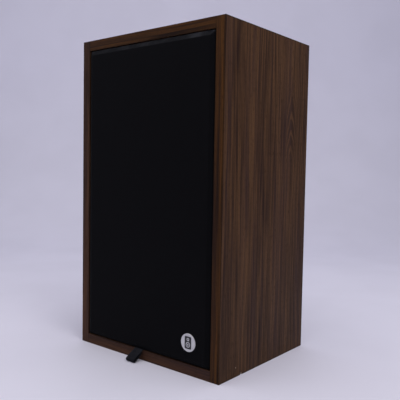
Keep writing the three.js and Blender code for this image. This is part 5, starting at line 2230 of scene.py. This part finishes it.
@dataclass
class Inside:
    """The crossover, the cables and the wadding."""

    ties: int = 3

    def build(self) -> None:
        """Dresses what is inside the cabinet."""
        phenolic = Board(
            "crossover_phenolic", base=srgb(118, 80, 44),
            fleck=srgb(146, 106, 64), edge_colour=srgb(170, 134, 92), roughness=0.55
        )
        dress("crossover_board", phenolic, 0.4 * MM)
        self.inductor()
        self.capacitor()
        for node, tone in (("input_cable", 30.0), ("woofer_cable", 26.0), ("tweeter_cable", 34.0)):
            jacket = Moulded(
                f"{node}_jacket", base=srgb(tone, tone, tone + 2),
                pale=srgb(tone + 22, tone + 20, tone + 20)
            )
            dress(node, jacket, 0.0)
            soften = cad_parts[node].modifiers.new("round", "SUBSURF")
            soften.levels = 1
            soften.render_levels = 1
        self.wadding()

    def inductor(self) -> None:
        """An air-cored coil of enamelled wire, wound in layers and held by ties."""
        low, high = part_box("crossover_inductor")
        centre = mid("crossover_inductor")
        outer = (high.x - low.x) / 2
        bore = 11 * MM
        axis = (centre.x, 0.0, centre.z)
        turns = 15
        step = (high.y - low.y) / turns
        profile = [(bore, low.y)]
        layers = 10
        pitch = (outer - bore) / layers
        for i in range(layers):
            profile += [
                (bore + (i + 0.5) * pitch, low.y), (bore + (i + 1) * pitch - 0.05 * MM, low.y + pitch * 0.3)
            ]
        for i in range(turns):
            profile += [
                (outer, low.y + (i + 0.5) * step), (outer - step * 0.3, low.y + (i + 1) * step - 0.05 * MM)
            ]
        profile += [(outer - 0.5 * MM, high.y), (bore, high.y)]
        coil = Shape().turned(profile, axis, 112).made("crossover_inductor_wound", 50.0)
        copper = Metal(
            "enamelled_copper", bright=srgb(190, 104, 58),
            dull=srgb(120, 56, 30), centre=(centre.x, centre.z), tarnish=0.5
        )
        fit(coil, Body.CABINET, copper, "copper", "crossover_inductor")
        ties = Shape()
        for i in range(self.ties):
            spin = Matrix.Translation((centre.x, 0, centre.z)) @ Matrix.Rotation(
                TAU * i / self.ties + 0.5, 4, "Y"
            )
            strap = 0.5 * MM
            wide = 1.6 * MM
            inner_x, outer_x = bore - strap, outer + strap
            y0, y1 = low.y - strap, high.y - 0.05 * MM
            ties.block((inner_x, y0, -wide), (outer_x, low.y + 0.05 * MM, wide), spin)
            ties.block((outer - 0.05 * MM, y0, -wide), (outer_x, y1, wide), spin)
            ties.block((inner_x, y0, -wide), (bore + 0.05 * MM, y1, wide), spin)
            ties.block(
                (outer - 5 * MM, y0 - 2 * MM, -wide * 1.5), (outer - MM, y0 + 0.1 * MM, wide * 1.5), spin
            )
        piece = ties.made("crossover_inductor_ties")
        finish_edges(piece, 0.2 * MM, 2, weld=False)
        fit(
            piece, Body.CABINET,
            Moulded("tie_nylon", base=srgb(200, 196, 184), pale=srgb(222, 218, 208)), "black_plastic"
        )

    def capacitor(self) -> None:
        """A can with a crimped shoulder, a sleeve and its two leads."""
        low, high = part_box("crossover_capacitor")
        centre = mid("crossover_capacitor")
        radius = (high.z - low.z) / 2
        profile = [
            (0.0, low.x + 0.5 * MM), (radius * 0.62, low.x + 0.5 * MM),
            (radius * 0.7, low.x), (radius - 0.5 * MM, low.x),
            (radius, low.x + 0.6 * MM), (radius, low.x + 4 * MM),
            (radius - 0.8 * MM, low.x + 5 * MM), (radius, low.x + 6 * MM),
            (radius, high.x - 0.8 * MM), (radius - 0.8 * MM, high.x), (0.0, high.x),
        ]
        can = Shape().turned(lathe_points(profile, 0.4 * MM), (0.0, 0.0, 0.0), 72)
        turn = Matrix.Translation((0.0, centre.y, centre.z)) @ Matrix.Rotation(-math.pi / 2, 4, "Z")
        can.points = [tuple(turn @ Vector(p)) for p in can.points]
        sleeve = Moulded(
            "capacitor_sleeve", base=srgb(34, 52, 98), pale=srgb(56, 78, 130), grain=1800.0, roughness=0.34
        )
        fit(can.made("crossover_capacitor_can"), Body.CABINET, sleeve, "capacitor", "crossover_capacitor")
        leads = Shape()
        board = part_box("crossover_board")[0].y
        for x, out in ((low.x, -1), (high.x, 1)):
            path = [
                (x, centre.y, centre.z), (x + out * 3 * MM, centre.y, centre.z),
                (x + out * 4.6 * MM, centre.y + 1.2 * MM, centre.z)
            ]
            path += [
                (x + out * 5 * MM, centre.y + 3 * MM, centre.z), (x + out * 5 * MM, board + MM, centre.z)
            ]
            leads.tube(path, 0.4 * MM, 10)
        fit(leads.made("crossover_capacitor_leads", 50.0), Body.CABINET, Metal("tinned_wire"), "screw_zinc")

    def wadding(self) -> None:
        """A batt of wadding in three soft layers, pinned to the back."""
        low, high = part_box("damping_wadding")
        half = (high - low) / 2
        centre = (low + high) / 2
        cells = (44, 12, 40)
        lattice: dict[tuple[int, int, int], int] = {}
        points: list[Point] = []
        faces: list[Sequence[int]] = []

        def corner(i: int, j: int, k: int) -> int:
            """The point at a step on the batt's surface.

            Args:
                i: The step across.
                j: The step back.
                k: The step up.

            Returns:
                The point's number.
            """
            key = (i, j, k)
            if key not in lattice:
                u = Vector([2 * step / count - 1 for step, count in zip(key, cells)])
                pull = 1 - 0.045 * (max(abs(u.x), abs(u.z)) ** 6) * abs(u.y) ** 2
                seam = 0.012 * max(math.cos(u.y * 1.5 * TAU), 0.0) ** 2 * max(abs(u.x), abs(u.z)) ** 8
                spot = Vector((u.x * half.x * (pull - seam), u.y * half.y, u.z * half.z * (pull - seam)))
                lump = noise.noise((centre + spot) * 42.0) * 2.2 * MM + noise.noise(
                    (centre + spot) * 160.0
                ) * 0.7 * MM
                flat = 1.0 if u.y < 0.98 else 0.1
                spot -= Vector((u.x ** 9, u.y ** 9, u.z ** 9)).normalized() * (2.6 * MM + lump) * flat
                lattice[key] = len(points)
                points.append(tuple(centre + spot))
            return lattice[key]

        for axis in range(3):
            first, second = [a for a in range(3) if a != axis]
            for end in (0, cells[axis]):
                for a in range(cells[first]):
                    for b in range(cells[second]):
                        square = []
                        for da, db in ((0, 0), (1, 0), (1, 1), (0, 1)):
                            key = [0, 0, 0]
                            key[axis], key[first], key[second] = end, a + da, b + db
                            square.append(corner(*key))
                        faces.append(tuple(square))
        batt = Shape().add(points, faces).made("damping_wadding_batt", 70.0)
        smooth = batt.modifiers.new("soft", "SUBSURF")
        smooth.levels = 1
        smooth.render_levels = 1
        fibre = Fibre(
            "wadding_fibre", base=srgb(176, 172, 162),
            pale=srgb(226, 224, 218), scale=300.0, depth=0.8 * MM, sheen=0.4
        )
        fit(batt, Body.CABINET, fibre, "wadding", "damping_wadding")


# ---------------------------------------------------------------- the studio


@dataclass
class Studio:
    """A plain pale floor that sweeps up behind, soft lights and the camera."""

    azimuth: float = 39.155
    elevation: float = 3.383
    roll: float = 1.0
    lens: float = 49.334
    stand: tuple[float, float, float] = (0.71538, -0.8579, 0.36274)
    floor: float = 6.0
    cove: float = 1.2
    tone: Colour = srgb(234, 234, 247)

    def build(self) -> None:
        """Sets up the whole studio."""
        bpy.context.scene.view_settings.view_transform = "Standard"
        self.camera()
        self.sweep()
        self.sky()
        self.softbox("key_overhead", (0.15, -0.35, 2.2), (0.0, -0.1, 0.0), 2.6, 32.0)
        self.softbox("fill_left", (-2.2, -1.6, 1.2), (0.0, 0.0, 0.3), 1.8, 5.0)
        self.softbox("side_right", (1.25, -0.42, 1.42), (0.17, 0.0, 0.62), 0.9, 6.8)

    def camera(self) -> None:
        """Places the camera and makes it the scene's."""
        azimuth, elevation, roll = (math.radians(a) for a in (self.azimuth, self.elevation, self.roll))
        level = math.cos(elevation)
        back = Vector((math.sin(azimuth) * level, -math.cos(azimuth) * level, math.sin(elevation)))
        right = (-back).cross(Vector((0, 0, 1))).normalized()
        up = right.cross(-back)
        x = math.cos(roll) * right + math.sin(roll) * up
        y = -math.sin(roll) * right + math.cos(roll) * up
        data = bpy.data.cameras.new("camera")
        data.lens = self.lens
        data.sensor_width = 36.0
        data.clip_start = 0.01
        camera = bpy.data.objects.new("camera", data)
        matrix = Matrix((x, y, back)).transposed().to_4x4()
        matrix.translation = Vector(self.stand)
        camera.matrix_world = matrix
        bpy.context.scene.collection.objects.link(camera)
        bpy.context.scene.camera = camera

    def sweep(self) -> None:
        """The floor and the backdrop, as one sheet with a rounded foot, open to the front."""
        profile = [(-self.floor, 0.0), (self.cove, 0.0)]
        radius = 1.0
        for i in range(1, 17):
            angle = math.pi / 2 * i / 16
            profile.append((self.cove + radius * math.sin(angle), radius * (1 - math.cos(angle))))
        profile.append((self.cove + radius, 3.4))
        azimuth = math.radians(self.azimuth)
        away = Vector((-math.sin(azimuth), math.cos(azimuth), 0.0))
        side = Vector((away.y, -away.x, 0.0))
        points = []
        for run, rise in profile:
            for sign in (-1, 1):
                points.append(tuple(away * run + side * sign * self.floor + Vector((0, 0, rise))))
        faces = [(2 * i, 2 * i + 1, 2 * i + 3, 2 * i + 2) for i in range(len(profile) - 1)]
        sheet = Shape().add(points, faces).made("floor", 80.0)
        paint(sheet, StudioPaper("studio_paper", base=self.tone))

    def sky(self) -> None:
        """Even light from all round."""
        world = bpy.data.worlds.new("studio")
        bpy.context.scene.world = world
        world.use_nodes = True
        background = world.node_tree.nodes["Background"]
        background.inputs["Color"].default_value = srgb(214, 212, 232)
        background.inputs["Strength"].default_value = 0.38

    @staticmethod
    def softbox(name: str, stand: Point, target: Point, size: float, power: float) -> None:
        """A large square light that faces a point.

        Args:
            name: The light's name.
            stand: Where it stands.
            target: The point it faces.
            size: The length of its sides.
            power: Its power in watts.
        """
        data = bpy.data.lights.new(name, "AREA")
        data.size = size
        data.energy = power
        data.color = srgb(255, 251, 250)[:3]
        light = bpy.data.objects.new(name, data)
        light.location = stand
        light.rotation_euler = (Vector(target) - Vector(stand)).to_track_quat("-Z", "Y").to_euler()
        bpy.context.scene.collection.objects.link(light)


@dataclass(frozen=True)
class StudioPaper(Finish):
    """Matt paper for the floor and backdrop."""

    base: Colour = srgb(205, 204, 220)

    def paint(self, graph: Graph, shader: Node) -> None:
        """A faint mottle on a pale ground.

        Args:
            graph: The node tree being wired.
            shader: The material's shader node.
        """
        spots = graph.effect(SPECKLE, Vector=graph.place(), Scale=60.0)
        deeper = tuple(c * 0.965 for c in self.base[:3]) + (1.0,)
        graph.feed(shader.inputs["Base Color"], graph.mix(spots["Slow"], self.base, deeper))
        graph.feed(shader.inputs["Roughness"], graph.line(spots["Fine"], 0.08, 0.6))
        shader.inputs["Specular IOR Level"].default_value = 0.3


def main() -> None:
    """Builds the speaker and its studio."""
    logging.basicConfig(level=logging.INFO, format="%(name)s: %(message)s")
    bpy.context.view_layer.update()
    Studio().build()
    Cabinet().build()
    Grille().build()
    Woofer().build()
    Tweeter().build()
    Terminals().build()
    Inside().build()


if __name__ == "__main__":
    main()
